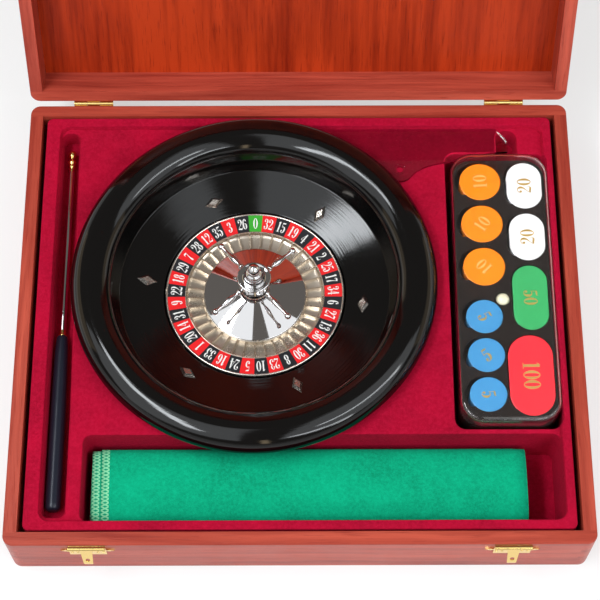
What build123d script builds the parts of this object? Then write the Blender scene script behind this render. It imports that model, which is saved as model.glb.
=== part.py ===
from build123d import *
from math import atan2, cos, degrees, hypot, radians, sin, tan
import os

# A roulette set in a hinged wooden case. Millimetres, +Z up, +X to the right, the front towards -Y.
# The origin is the middle of the base's footprint, on the surface that the case stands on.
# The lid is built shut and then turned about its hinge to the open rest pose.

os.makedirs("parts", exist_ok=True)

# ---- Wooden case, whose width and depth follow from what it holds ----
base_height = 58.0
wall = 10.5
corner_radius = 8.0  # upright corners, in plan
edge_round = 1.2  # outer rims
base_fingers = 5  # finger joint courses in the height of the base
lid_fingers = 3
panel_thickness = 4.0  # bottom and lid panels
panel_lap = 5.0  # how far a panel reaches under the walls
panel_fit = 0.2  # clearance round a panel in its rabbet
turret_lid_gap = 1.6  # from the top of the turret to the panel of the shut lid
lid_gap = 0.3  # between the rims of the shut case
lid_open_angle = 112.0

# ---- Hinges, on the outside of the rear walls ----
hinge_inset = 53.0  # from the side of the case to the middle of a hinge
hinge_width = 33.0
hinge_leaf_height = 14.0
hinge_leaf_thickness = 1.0
hinge_barrel_radius = 1.8
hinge_pin_radius = 0.9
hinge_wood_gap = 0.2  # between the barrel and the wood
knuckle_length = 10.6  # the lid's middle knuckle
knuckle_gap = 0.2
pin_fit = 0.05  # radial running clearance of a pin

# ---- Box latches, on the front ----
latch_inset = 64.3  # from the side of the case to the middle of a latch
latch_axis_drop = 1.8  # the pin lies below the rim of the base
latch_axis_reach = 2.6  # from the front face to the pin
latch_barrel_radius = 1.8
latch_pin_radius = 0.8
latch_plate_width = 28.5
latch_plate_height = 19.0  # below the pin
latch_plate_thickness = 1.0
finial_reach = 6.5  # ornament past each end of the plate
finial_radius = 1.7
finial_neck = 2.2
hasp_width = 9.4
hasp_tip_width = 7.2
hasp_thickness = 0.9
hasp_offset = 0.5  # from the pin's middle to the hasp's inner face
hasp_length = 20.5  # straight part
hasp_curl_radius = 6.0
hasp_curl_angle = 40.0
hasp_hole_width = 3.2
hasp_hole_length = 5.0
hasp_hole_drop = 15.3  # from the pin to the middle of the hole
hasp_rest_angle = 11.0  # the stiff hasp stays this far off the plate
catch_plate_width = 14.0
catch_plate_height = 10.0
catch_plate_thickness = 0.8
catch_stud_radius = 1.2
catch_stud_length = 4.0

# ---- Flocked tray insert ----
sheet = 1.5  # thickness of the formed sheet
tray_side_gap = 3.7
tray_rear_gap = 0.3
tray_front_gap = 2.3
tray_corner = 5.0
tray_skirt = 12.0
flange_drop = 2.5  # flange below the rim of the base
plateau_drop = 4.5  # inner area below the flange
plateau_corner = 9.0
flange_right = 7.0
flange_rear = 7.7
flange_front = 7.2
wall_draft = 2.0  # degrees, on the walls of the tray's hollows
step_draft = 18.0  # degrees, on the step from flange to inner area
well_fit = 2.3  # round the bowl's inner wall
slot_inset = 12.76  # rake slot, from the tray's left edge
slot_floor_drop = 18.0  # rake slot below the inner area
slot_rear_width = 15.0
slot_grip_width = 19.0
slot_rear_corner = 6.5
slot_front_corner = 5.5
slot_end_margin = 2.5
rim_over_slot = 4.46  # how far the wheel's rim reaches over the rake slot
rim_to_bay = 9.9
bay_left_gap = 3.4  # round the chip box
bay_right_gap = 1.6
bay_front_gap = 1.2
bay_rear_gap = 6.4
bay_to_edge = 4.8  # from the bay to the tray's right edge
bay_corner = 9.0
notch_width = 18.0  # finger notch behind the chip box
notch_offset = 10.0  # from the middle of the bay
notch_drop = 22.0
notch_rear_margin = 1.5
slot_to_trough = 11.04
trough_reach = 71.8  # cloth trough, from the front of the inner area
trough_to_bay = 3.6
trough_corner = 7.0
rim_over_trough = 19.1  # how far the wheel's rim reaches over the cloth trough
rim_rear_gap = 4.5  # from the wheel's rim to the tray's rear edge
mouth_round = 1.1  # where the sheet turns down into a hollow

# ---- Folded cloth ----
cloth_left_gap = 4.0
cloth_right_gap = 12.0  # at least
cloth_length = 344.0
cloth_side_gap = 0.5
cloth_thickness = 32.5
cloth_corner = 13.0

# ---- Wheel ----
rim_radius = 149.0
rim_lip_lift = 0.7  # underside of the rim above the tray's flange
rim_height = 17.0  # crown of the rim above its underside
rim_inner_radius = 115.5
rim_inner_drop = 11.5  # inner edge of the rim below its crown
shell = 3.2  # wall of the moulded bowl
apron_radius = 111.0
apron_drop = 32.5  # outer end of the sloping apron below the crown
rotor_gap = 1.5
rotor_radius = 73.5
apron_fall = 8.2  # how much the apron falls towards the rotor
foot_outer_radius = 109.0
foot_width = 5.0
pan_drop = 12.0  # rotor pan below the inner end of the apron
deflector_radius = 89.5
deflector_length = 17.0
deflector_width = 9.5
deflector_height = 2.4
deflector_count = 6
deflector_turn = -7.0
spindle_radius = 4.0
spindle_flange_radius = 10.0
spindle_flange_height = 1.2
spindle_height = 22.0

# ---- Rotor ----
rotor_lift = 0.3  # running gap over the spindle's flange
rotor_thickness = 9.6  # at its outer edge
trim_width = 1.6
trim_proud = 1.0
number_ring_inner = 57.6
number_ring_fall = 1.2
number_ring_thickness = 1.2
pocket_inner = 41.6
pocket_depth = 5.6
pocket_count = 37
pocket_sheet = 1.0
fret_thickness = 1.0
cone_thickness = 1.2
cone_edge_drop = 0.5  # the cone's foot below the number ring
cone_rise = 9.0
turret_base_radius = 12.4
turret_disc_radius = 13.8
turret_waist_radius = 9.6
turret_height = 43.6
handle_count = 4
handle_turn = 41.1
handle_reach = 41.4  # from the axis to the middle of the ball end
handle_height = 19.4  # above the turret's foot
handle_droop = 4.0  # degrees
handle_ball_radius = 2.8
handle_tenon_radius = 1.5
handle_fit = 0.05

# ---- Rake ----
grip_radius = 6.3
grip_length = 148.0
grip_taper = 60.0  # the end of the grip that slims towards the ferrule
grip_end_gap = 8.0
tip_end_gap = 8.0  # at least
ferrule_radius = 3.3
ferrule_length = 5.0
rod_radius = 2.6
rod_length = 146.0
tip_length = 20.0
stick_side_gap = 0.9  # between the grip and the slot's left wall
rake_end_offset = 9.6  # the rake head's right end, from the middle of the chip box
rake_half_width = 91.0
rake_corner_x = 10.0
rake_corner_y = 13.0
rake_end_length = 10.0
rake_thickness = 3.0
rake_bevel_width = 3.4
rake_bevel_depth = 1.8
rake_hole_reach = 39.04  # from the long edge to the middle of the screw hole
rake_neck_radius = 11.5
rake_hole_radius = 2.9
rake_sink_radius = 4.9
rake_sink_depth = 1.2
rake_rear_gap = 0.6
rake_bay_gap = 0.4  # at least

# ---- Chip box, as long and as wide as its rows of stacks ask ----
box_corner = 19.0
box_draft = 1.2
box_ledge_height = 45.7  # ledge for the cover, above the box's foot
box_top_rise = 2.3
cover_sheet = 1.4
cover_fit = 0.3
cover_height = 14.3
cover_round = 4.0
cup_floor = 2.5
cup_fit = 0.3
chip_stack_height = 48.0
top_chip_thickness = 3.0
top_chip_round = 0.6
ten_radius = 17.2
five_radius = 14.8
twenty_width = 29.0  # plaques
twenty_length = 43.0
fifty_width = 28.6
fifty_length = 57.4
hundred_width = 36.2
hundred_length = 68.8
ten_side_margin = 8.4  # from the side of the box to a stack
five_side_margin = 9.0
twenty_side_margin = 3.9
fifty_side_margin = 4.5
hundred_side_margin = 3.7
round_rear_margin = 4.2  # from the rear of the box to the first round stack
plaque_rear_margin = 3.9
front_margin = 9.1  # at least
ten_web = 4.7  # between two stacks of one column
five_web = 4.1
plaque_web = 4.6
row_web = 4.9  # between tens and twenties
narrow_web = 2.1  # between fives and hundreds
ball_web = 1.9  # between ball and fifties
ball_row = 12.5  # from the last ten to the first five, with the ball between them
ball_five_gap = 1.13
ball_bearing = 45.2  # degrees, seen from the first five
cup_window_reach = 3.6  # window past the side of a round stack
cup_window_drop = 15.0
window_share = 0.4  # how much of the web beside a plaque its window takes
ball_radius = 6.2
ball_sink = 5.4  # how far the ball's middle lies below the box's top
ball_fit = 0.2

# ---- Worked out: heights ----
floor_z = panel_thickness
tray_floor = floor_z + sheet
flange_top = base_height - flange_drop
plateau = flange_top - plateau_drop
slot_floor = plateau - slot_floor_drop
rim_low = flange_top + rim_lip_lift
rim_top = rim_low + rim_height
rim_edge_z = rim_top - rim_inner_drop
apron_top = rim_top - apron_drop
apron_low = apron_top - apron_fall
pan_floor = apron_low - pan_drop
rotor_low = pan_floor + spindle_flange_height + rotor_lift
rotor_edge_z = rotor_low + rotor_thickness
ring_high = rotor_edge_z + number_ring_thickness
ring_low = ring_high - number_ring_fall
pocket_floor = ring_low - number_ring_thickness - pocket_depth
cone_edge_z = ring_low - cone_edge_drop
cone_top_z = cone_edge_z + cone_rise
lid_low = base_height + lid_gap
lid_inner_depth = cone_top_z + turret_height + turret_lid_gap - lid_low
lid_height = lid_inner_depth + panel_thickness
lid_high = lid_low + lid_height

# ---- Worked out: leans of the drafted walls ----
step_run = plateau_drop * tan(radians(step_draft))
cup_lean = (flange_top - tray_floor) * tan(radians(wall_draft))
slot_lean = (flange_top - slot_floor) * tan(radians(wall_draft))

# ---- Worked out: chip box, from its rows and columns ----
ball_reach = five_radius + ball_radius + ball_five_gap
ball_turn = radians(ball_bearing)
tens_row = ten_side_margin + 2 * ten_radius + row_web + twenty_width + twenty_side_margin
fives_row = five_side_margin + 2 * five_radius + narrow_web + hundred_width + hundred_side_margin
ball_side = five_side_margin + five_radius + ball_reach * cos(ball_turn) + ball_radius
middle_row = ball_side + ball_web + fifty_width + fifty_side_margin
box_width = max(tens_row, fives_row, middle_row)
round_webs = 2 * ten_web + ball_row + 2 * five_web
round_column = round_rear_margin + 6 * ten_radius + 6 * five_radius + round_webs
plaque_lengths = 2 * twenty_length + fifty_length + hundred_length
plaque_column = plaque_rear_margin + plaque_lengths + 3 * plaque_web
box_length = max(round_column, plaque_column) + front_margin

# ---- Worked out: the plan, whose longest row and column of pieces set the case's size ----
row_start = wall + tray_side_gap + slot_inset + slot_grip_width
row_end = tray_side_gap + wall
bay_width = bay_left_gap + box_width + bay_right_gap
wheel_row = row_start - rim_over_slot + 2 * rim_radius + rim_to_bay + bay_width + bay_to_edge + row_end
cloth_room = cup_lean + cloth_left_gap + cloth_length + cloth_right_gap + cup_lean
cloth_row = row_start + slot_to_trough + cloth_room + step_run / 2 + flange_right + row_end
half_width = max(wheel_row, cloth_row) / 2
column_start = wall + tray_front_gap + flange_front
column_end = flange_rear + tray_rear_gap + wall
wheel_column = column_start + trough_reach - rim_over_trough + 2 * rim_radius
wheel_column += rim_rear_gap + tray_rear_gap + wall
bay_length = bay_front_gap + box_length + bay_rear_gap
rake_room = rake_bay_gap + rake_end_length + rake_corner_y + rake_rear_gap + step_run
box_column = column_start + trough_reach + trough_to_bay + bay_length + rake_room + column_end
slot_ends = 2 * (step_run + slot_end_margin + slot_lean)
stick_length = grip_length + ferrule_length + rod_length + tip_length
stick_column = column_start + slot_ends + grip_end_gap + stick_length + tip_end_gap + column_end
half_depth = max(wheel_column, box_column, stick_column) / 2
inner_x = half_width - wall
inner_y = half_depth - wall
hinge_axis_y = half_depth + hinge_wood_gap + hinge_barrel_radius
hinge_axis_z = base_height + lid_gap / 2
hinge_x = half_width - hinge_inset
latch_x = half_width - latch_inset
latch_axis_y = -half_depth - latch_axis_reach
latch_axis_height = base_height - latch_axis_drop
tray_left = -inner_x + tray_side_gap
tray_right = inner_x - tray_side_gap
tray_rear = inner_y - tray_rear_gap
tray_front = -inner_y + tray_front_gap
slot_left = tray_left + slot_inset
plateau_left = slot_left - step_run
plateau_right = tray_right - flange_right
plateau_rear = tray_rear - flange_rear
plateau_front = tray_front + flange_front
trough_left = slot_left + slot_grip_width + slot_to_trough
trough_rear = plateau_front + trough_reach
wheel_x = slot_left + slot_grip_width - rim_over_slot + rim_radius
wheel_y = trough_rear - rim_over_trough + rim_radius
well_radius = rim_inner_radius + shell + well_fit
bay_left = wheel_x + rim_radius + rim_to_bay
bay_right = bay_left + bay_width
bay_front = trough_rear + trough_to_bay
bay_rear = bay_front + bay_length
box_x = bay_left + bay_left_gap + box_width / 2
box_y = bay_front + bay_front_gap + box_length / 2
rake_rear = plateau_rear - step_run - rake_rear_gap
rake_middle = box_x + rake_end_offset - rake_half_width
rake_neck_y = rake_rear - rake_hole_reach


def block(x0, x1, y0, y1, z0, z1):
    """A box between two opposite corners."""
    middle = Pos((x0 + x1) / 2, (y0 + y1) / 2, (z0 + z1) / 2)
    return middle * Box(x1 - x0, y1 - y0, z1 - z0)


def rounded_plan(x0, x1, y0, y1, radius):
    """A rectangle with round corners between two opposite corners, in plan."""
    return Pos((x0 + x1) / 2, (y0 + y1) / 2) * RectangleRounded(x1 - x0, y1 - y0, radius)


def upright(radius, z0, z1, x=0.0, y=0.0):
    """A cylinder that stands on z0."""
    return Pos(x, y, (z0 + z1) / 2) * Cylinder(radius, z1 - z0)


def along_x(radius, x0, x1, y, z):
    """A cylinder along X."""
    return Pos((x0 + x1) / 2, y, z) * Rot(0, 90, 0) * Cylinder(radius, x1 - x0)


def turned(points, x=0.0, y=0.0):
    """A solid of revolution about an upright axis, from an outline of (radius, height) points."""
    outline = Plane.XZ * make_face(Polyline([*points, points[0]]))
    return Pos(x, y) * revolve(outline, Axis.Z)


def save(name, *solids):
    """Writes one node, whose separate solids stay separate."""
    bodies = [solid for shape in solids for solid in shape.solids()]
    shape = bodies[0] if len(bodies) == 1 else Compound(children=bodies)
    export_step(shape, f"parts/{name}.step")


# ---------------------------------------------------------------- case
def wooden_ring(low, high, rabbet_low, rabbet_high):
    """The four walls as one ring, with a rabbet for the panel."""
    outline = Pos(0, 0, low) * RectangleRounded(2 * half_width, 2 * half_depth, corner_radius)
    ring = extrude(outline, high - low)
    rims = ring.faces().filter_by(Axis.Z).edges()
    ring = fillet(rims, edge_round)
    ring -= block(-inner_x, inner_x, -inner_y, inner_y, low - 1, high + 1)
    lap_x = inner_x + panel_lap
    lap_y = inner_y + panel_lap
    return ring - block(-lap_x, lap_x, -lap_y, lap_y, rabbet_low, rabbet_high)


def fingered_walls(ring, low, high, courses):
    """Parts the ring into front, rear, left and right walls that share finger-jointed corners."""
    pitch = (high - low) / courses
    out_x = half_width + 1
    out_y = half_depth + 1
    rear = block(-inner_x, inner_x, inner_y, out_y, low, high)
    right = block(inner_x, out_x, -inner_y, inner_y, low, high)
    for course in range(courses):
        z0 = low + course * pitch
        corner = block(inner_x, out_x, inner_y, out_y, z0, z0 + pitch)
        if (courses - 1 - course) % 2 == 0:
            rear += [corner, corner.mirror(Plane.YZ)]
        else:
            right += [corner, corner.mirror(Plane.XZ)]
    front = rear.mirror(Plane.XZ)
    left = right.mirror(Plane.YZ)
    return [ring & region for region in (front, rear, left, right)]


def panel(z0):
    """A plywood panel in its rabbet."""
    x = inner_x + panel_lap - panel_fit
    y = inner_y + panel_lap - panel_fit
    return block(-x, x, -y, y, z0, z0 + panel_thickness)


def opened(shape):
    """Turns a piece of the shut lid to the open rest pose."""
    axis = Axis((0, hinge_axis_y, hinge_axis_z), (-1, 0, 0))
    return shape.rotate(axis, lid_open_angle)


def hinge_leaf(x, on_lid):
    """One leaf with its knuckles: the lid's has the middle one, the base's the outer two."""
    side = 1 if on_lid else -1
    tip = hinge_axis_z + side * hinge_leaf_height
    low, high = sorted((hinge_axis_z, tip))
    face = half_depth
    leaf = block(
        x - hinge_width / 2, x + hinge_width / 2, face, face + hinge_leaf_thickness, low, high
    )
    half_knuckle = knuckle_length / 2
    cut_radius = hinge_barrel_radius + knuckle_gap
    ends = ((-hinge_width / 2, -half_knuckle), (half_knuckle, hinge_width / 2))
    middle = ((-half_knuckle, half_knuckle),)
    mine, others = (middle, ends) if on_lid else (ends, middle)
    for start, end in others:
        start_gap = knuckle_gap / 2 if start > -hinge_width / 2 else 1
        end_gap = knuckle_gap / 2 if end < hinge_width / 2 else 1
        leaf -= along_x(
            cut_radius, x + start - start_gap, x + end + end_gap, hinge_axis_y, hinge_axis_z
        )
    for start, end in mine:
        start_gap = knuckle_gap / 2 if start > -hinge_width / 2 else 0
        end_gap = knuckle_gap / 2 if end < hinge_width / 2 else 0
        leaf += along_x(
            hinge_barrel_radius, x + start + start_gap, x + end - end_gap, hinge_axis_y, hinge_axis_z
        )
    bore = hinge_pin_radius + pin_fit
    return leaf - along_x(bore, x - hinge_width, x + hinge_width, hinge_axis_y, hinge_axis_z)


def make_case():
    """Base, lid and hinges."""
    base = wooden_ring(0, base_height, -1, panel_thickness)
    for name, piece in zip(
        ("front", "rear", "left", "right"), fingered_walls(base, 0, base_height, base_fingers)
    ):
        save(f"base_{name}_wall", piece)
    save("base_bottom_panel", panel(0))
    lid = wooden_ring(lid_low, lid_high, lid_high - panel_thickness, lid_high + 1)
    for name, piece in zip(
        ("front", "rear", "left", "right"), fingered_walls(lid, lid_low, lid_high, lid_fingers)
    ):
        save(f"lid_{name}_rail", opened(piece))
    save("lid_panel", opened(panel(lid_high - panel_thickness)))
    places = (-hinge_x, hinge_x)
    save("hinge_base_leaves", *[hinge_leaf(x, False) for x in places])
    save("hinge_lid_leaves", *[opened(hinge_leaf(x, True)) for x in places])
    half_pin = hinge_width / 2
    pins = [
        along_x(hinge_pin_radius, x - half_pin, x + half_pin, hinge_axis_y, hinge_axis_z)
        for x in places
    ]
    save("hinge_pins", *pins)


# ---------------------------------------------------------------- latches
def latch_plate(x):
    """Face plate with a finial at each end and two knuckles along its upper edge."""
    width = latch_plate_width
    face = Rectangle(width, latch_plate_height)
    neck_length = finial_radius
    for side in (-1, 1):
        neck = Pos(side * (width + neck_length) / 2, 0) * Rectangle(neck_length + 1, finial_neck)
        bulb_x = width / 2 + finial_radius + neck_length / 2
        bulb = Pos(side * bulb_x, 0) * Circle(finial_radius)
        tip = (side * (width / 2 + finial_reach), 0)
        low = (side * bulb_x, -finial_radius * 0.8)
        high = (side * bulb_x, finial_radius * 0.8)
        face += [neck, bulb, make_face(Polyline(low, tip, high, low))]
    middle_z = latch_axis_height - latch_plate_height / 2
    front = Plane(origin=(x, -half_depth, middle_z), x_dir=(1, 0, 0), z_dir=(0, -1, 0))
    plate = extrude(front * face, latch_plate_thickness)
    half_gap = hasp_width / 2 + knuckle_gap
    window = latch_barrel_radius + knuckle_gap
    plate -= along_x(window, x - half_gap, x + half_gap, latch_axis_y, latch_axis_height)
    for start, end in ((-width / 2, -half_gap), (half_gap, width / 2)):
        plate += along_x(
            latch_barrel_radius, x + start, x + end, latch_axis_y, latch_axis_height
        )
    bore = latch_pin_radius + pin_fit
    return plate - along_x(bore, x - width, x + width, latch_axis_y, latch_axis_height)


def hasp(x):
    """The tongue: a knuckle, a straight blade with an eye, and a lip that lifts off the lid."""
    inner = -hasp_offset
    outer = inner - hasp_thickness
    drop = -hasp_length
    curl = radians(hasp_curl_angle)
    bend = outer + hasp_curl_radius

    def on_bend(radius, angle):
        return (bend - radius * cos(angle), drop - radius * sin(angle))

    # The side view is drawn as (towards the case, up) from the pin, for a hasp that hangs straight.
    big = hasp_curl_radius
    small = hasp_curl_radius - hasp_thickness
    side_view = make_face(
        [
            Line((inner, 0), (outer, 0)),
            Line((outer, 0), (outer, drop)),
            ThreePointArc((outer, drop), on_bend(big, curl / 2), on_bend(big, curl)),
            Line(on_bend(big, curl), on_bend(small, curl)),
            ThreePointArc(on_bend(small, curl), on_bend(small, curl / 2), (inner, drop)),
            Line((inner, drop), (inner, 0)),
        ]
    )
    side = Plane(
        origin=(x - hasp_width / 2, latch_axis_y, latch_axis_height), x_dir=(0, 1, 0), z_dir=(1, 0, 0)
    )
    blade = extrude(side * side_view, hasp_width)
    full = hasp_length + big * sin(curl)
    half = hasp_width / 2
    tip = hasp_tip_width / 2
    outline = make_face(
        [
            Line((-half, 1), (half, 1)),
            Line((half, 1), (tip, tip - full)),
            ThreePointArc((tip, tip - full), (0, -full), (-tip, tip - full)),
            Line((-tip, tip - full), (-half, 1)),
        ]
    )
    outline -= Pos(0, -hasp_hole_drop) * SlotOverall(
        hasp_hole_length, hasp_hole_width, rotation=90
    )
    front = Plane(
        origin=(x, latch_axis_y + big, latch_axis_height), x_dir=(1, 0, 0), z_dir=(0, -1, 0)
    )
    blade &= extrude(front * outline, 3 * big)
    blade += along_x(latch_barrel_radius, x - half, x + half, latch_axis_y, latch_axis_height)
    bore = latch_pin_radius + pin_fit
    blade -= along_x(bore, x - hasp_width, x + hasp_width, latch_axis_y, latch_axis_height)
    pin = Axis((x, latch_axis_y, latch_axis_height), (-1, 0, 0))
    return blade.rotate(pin, hasp_rest_angle)


def lid_catch(x):
    """The stud on the lid's front that the hasp's eye drops over, on its little plate."""
    stud_z = latch_axis_height + hasp_hole_drop
    front = Plane(origin=(x, -half_depth, stud_z), x_dir=(1, 0, 0), z_dir=(0, -1, 0))
    plate = extrude(
        front * RectangleRounded(catch_plate_width, catch_plate_height, 1.5), catch_plate_thickness
    )
    stud = extrude(front * Circle(catch_stud_radius), catch_stud_length)
    stud = chamfer(stud.faces().sort_by(Axis.Y)[0].edges(), catch_stud_radius / 3)
    return plate + stud


def make_latches():
    """Both latches: plates and pins on the base, hasps of their own, catches on the lid."""
    places = {"left": -latch_x, "right": latch_x}
    for side, x in places.items():
        save(f"latch_{side}_plate", latch_plate(x))
        save(f"latch_{side}_hasp", hasp(x))
    half_pin = latch_plate_width / 2
    pins = [
        along_x(latch_pin_radius, x - half_pin, x + half_pin, latch_axis_y, latch_axis_height)
        for x in places.values()
    ]
    save("latch_pins", *pins)
    save("lid_catches", *[opened(lid_catch(x)) for x in places.values()])


# ---------------------------------------------------------------- tray insert
def slot_plan(grow):
    """The rake slot: narrow along the rod, wider along the grip."""
    rear = plateau_rear - step_run - slot_end_margin
    front = plateau_front + step_run + slot_end_margin
    left = slot_left
    grip_start = front + grip_end_gap + grip_length / 2
    corners = [
        (left, front),
        (left + slot_grip_width, front),
        (left + slot_grip_width, grip_start),
        (left + slot_rear_width, rear),
        (left, rear),
    ]
    plan = make_face(Polyline([*corners, corners[0]]))
    vertices = plan.vertices().sort_by(Axis.Y)
    plan = fillet(vertices[:2], slot_front_corner)
    plan = fillet(plan.vertices().sort_by(Axis.Y)[-2:], slot_rear_corner)
    return offset(plan, grow) if grow else plan


def hollow(plan, floor):
    """A drafted hollow from the flange's level down to its floor."""
    top = Pos(0, 0, flange_top) * plan
    return extrude(top, amount=-(flange_top - floor), taper=wall_draft)


def tray_hollows(grow):
    """Every hollow of the tray; grow is the sheet's thickness for the outside of the same hollows."""
    notch_x = (bay_left + bay_right) / 2 + notch_offset
    notch_rear = plateau_rear - step_run - notch_rear_margin
    trough_right = plateau_right - step_run / 2
    trough_front = plateau_front + step_run / 2
    return [
        hollow(Pos(wheel_x, wheel_y) * Circle(well_radius + grow), tray_floor - grow),
        hollow(slot_plan(grow), slot_floor - grow),
        hollow(
            rounded_plan(
                bay_left - grow,
                bay_right + grow,
                bay_front - grow,
                bay_rear + grow,
                bay_corner + grow,
            ),
            tray_floor - grow,
        ),
        hollow(
            rounded_plan(
                notch_x - notch_width / 2 - grow,
                notch_x + notch_width / 2 + grow,
                bay_rear - bay_corner,
                notch_rear + grow,
                notch_width / 2 - 1 + grow,
            ),
            plateau - notch_drop - grow,
        ),
        hollow(
            rounded_plan(
                trough_left - grow,
                trough_right + grow,
                trough_front - grow,
                trough_rear + grow,
                trough_corner + grow,
            ),
            tray_floor - grow,
        ),
    ]


def level_edges(shape, height, x0, x1, y0, y1):
    """The level edges of a shape at one height whose middles lie in a rectangle in plan."""
    found = []
    for edge in shape.edges():
        bounds = edge.bounding_box()
        middle = edge @ 0.5
        level = max(abs(bounds.min.Z - height), abs(bounds.max.Z - height)) < 0.02
        if level and x0 < middle.X < x1 and y0 < middle.Y < y1:
            found.append(edge)
    return found


def rounded_mouths(tray):
    """Rounds the sheet where it turns down from the flange and from the inner area."""
    foot_right = plateau_right - step_run
    foot_front = plateau_front + step_run
    bay_end = foot_right - bay_corner / 2
    mouths = (
        (wheel_x - well_radius, wheel_x + well_radius, wheel_y - well_radius, wheel_y + well_radius),
        (trough_left, foot_right - trough_corner / 2, foot_front + trough_corner, trough_rear),
        (bay_left, bay_end, bay_front, bay_rear),
        (bay_left, bay_end, bay_rear, plateau_rear),
    )
    for x0, x1, y0, y1 in mouths:
        tray = fillet(level_edges(tray, plateau, x0, x1, y0, y1), mouth_round)
    tray = fillet(level_edges(tray, flange_top, -inner_x, inner_x, -inner_y, inner_y), mouth_round)
    slot_mouth = Pos(0, 0, plateau) * slot_plan(mouth_round)
    return tray - extrude(slot_mouth, amount=-mouth_round, taper=45)


def make_tray():
    """The flocked tray: a formed sheet with a flange, a turned-down skirt and five hollows."""
    outline = rounded_plan(tray_left, tray_right, tray_front, tray_rear, tray_corner)
    inside = rounded_plan(
        tray_left + sheet, tray_right - sheet, tray_front + sheet, tray_rear - sheet, tray_corner - sheet
    )
    tray = extrude(Pos(0, 0, flange_top - sheet) * outline, sheet)
    skirt = Pos(0, 0, flange_top - tray_skirt) * (outline - inside)
    tray += extrude(skirt, tray_skirt)

    def step_pan(grow):
        plan = rounded_plan(
            plateau_left - grow,
            plateau_right + grow,
            plateau_front - grow,
            plateau_rear + grow,
            plateau_corner + grow,
        )
        top = Pos(0, 0, flange_top) * plan
        return extrude(top, amount=-(plateau_drop + grow), taper=step_draft)

    tray += step_pan(sheet)
    tray += tray_hollows(sheet)
    tray -= step_pan(0)
    for space in tray_hollows(0):
        tray -= space
    tray = rounded_mouths(tray)
    # The one sheet is written in pieces that meet face to face: the inner area in four quarters
    # round the wheel, the flange in straight lengths and four corners, and four cups.
    below = extrude(Pos(0, 0, floor_z - 1) * inside, plateau - sheet - floor_z + 1)
    deck = tray - below
    feet = (
        slot_left + sheet,
        plateau_right - step_run,
        plateau_front + step_run,
        plateau_rear - step_run,
    )
    foot_corner = plateau_corner - step_run
    inner = extrude(Pos(0, 0, plateau - sheet - 1) * rounded_plan(*feet, foot_corner), sheet + 1)
    sheet_inner = deck & inner
    flange = deck - inner
    across = (-half_width, wheel_x, half_width)
    along = (-half_depth, wheel_y, half_depth)
    quarters = [
        sheet_inner & block(left, right, front, rear, 0, rim_low)
        for left, right in zip(across, across[1:])
        for front, rear in zip(along, along[1:])
    ]
    save("tray_deck", *quarters)
    left, right, front, rear = feet
    columns = (-half_width, left + foot_corner, right - foot_corner, half_width)
    side_rows = (-half_depth, front + foot_corner, rear - foot_corner, half_depth)
    bay_rows = (side_rows[1], bay_front + bay_corner, bay_rear - bay_corner, side_rows[2])
    cells = [
        (x0, x1, y0, y1)
        for x0, x1 in zip(columns, columns[1:])
        for y0, y1 in zip(side_rows, side_rows[1:])
        if not (x0 == columns[1] and y0 == side_rows[1])
        and not (x0 == columns[2] and y0 == side_rows[1])
    ]
    cells += [(columns[2], columns[3], y0, y1) for y0, y1 in zip(bay_rows, bay_rows[1:])]
    save("tray_flange", *[flange & block(*cell, 0, rim_low) for cell in cells])
    cups = (tray & below).solids()
    floor = floor_z + sheet / 2
    floors = {
        "tray_wheel_well": (wheel_x, wheel_y, floor),
        "tray_rake_slot": (slot_left + slot_rear_width / 2, 0, slot_floor - sheet / 2),
        "tray_chip_bay": (box_x, box_y, floor),
        "tray_cloth_trough": (0, (plateau_front + trough_rear) / 2, floor),
    }
    for name, place in floors.items():
        save(name, cups.sort_by_distance(Vertex(*place))[0])


# ---------------------------------------------------------------- cloth
def make_cloth():
    """The baize, folded flat into a long bundle that fills the trough's width."""
    front = plateau_front + step_run / 2 + cup_lean + cloth_side_gap
    rear = trough_rear - cup_lean - cloth_side_gap
    left = trough_left + cup_lean + cloth_left_gap
    middle = Plane(
        origin=(left, (front + rear) / 2, tray_floor + cloth_thickness / 2),
        x_dir=(0, 1, 0),
        z_dir=(1, 0, 0),
    )
    section = middle * RectangleRounded(rear - front, cloth_thickness, cloth_corner)
    save("felt_cloth", extrude(section, cloth_length))


# ---------------------------------------------------------------- wheel
apron_inner_radius = rotor_radius + rotor_gap
apron_slope = degrees(atan2(apron_fall, apron_radius - apron_inner_radius))


def make_bowl():
    """The turned bowl: round rim with a hollow underside, inner wall, sloping apron and rotor pan."""
    crown = (rim_radius + rim_inner_radius) / 2
    lip = rim_radius - shell
    brim_z = rim_low + rim_height * 0.22
    top = (crown, rim_top)
    hollow_top = (crown, rim_top - shell)
    rim_outer = TangentArc(top, (rim_radius, brim_z), tangent=(1, 0))
    rim_inner = TangentArc(top, (rim_inner_radius, rim_edge_z), tangent=(-1, 0))
    foot_inner = foot_outer_radius - foot_width
    skirt_radius = apron_radius + shell
    side = [
        (rim_inner_radius, rim_edge_z),
        (apron_radius, apron_top),
        (apron_inner_radius, apron_low),
        (apron_inner_radius, pan_floor),
        (0, pan_floor),
        (0, pan_floor - shell),
        (apron_inner_radius + shell, pan_floor - shell),
        (apron_inner_radius + shell, apron_low - shell),
        (foot_inner, apron_low - shell + 4.0),
        (foot_inner, tray_floor),
        (foot_outer_radius, tray_floor),
        (skirt_radius, apron_top - shell),
        (rim_inner_radius + shell, rim_edge_z - shell),
    ]
    under_inner = TangentArc(hollow_top, side[-1], tangent=(-1, 0))
    under_outer = TangentArc(hollow_top, (lip, rim_low), tangent=(1, 0))
    brim = Polyline((lip, rim_low), (rim_radius - 1.0, rim_low), (rim_radius, brim_z))
    outline = make_face([rim_outer, rim_inner, Polyline(side), under_inner, under_outer, brim])
    return Pos(wheel_x, wheel_y) * revolve(Plane.XZ * outline, Axis.Z)


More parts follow.
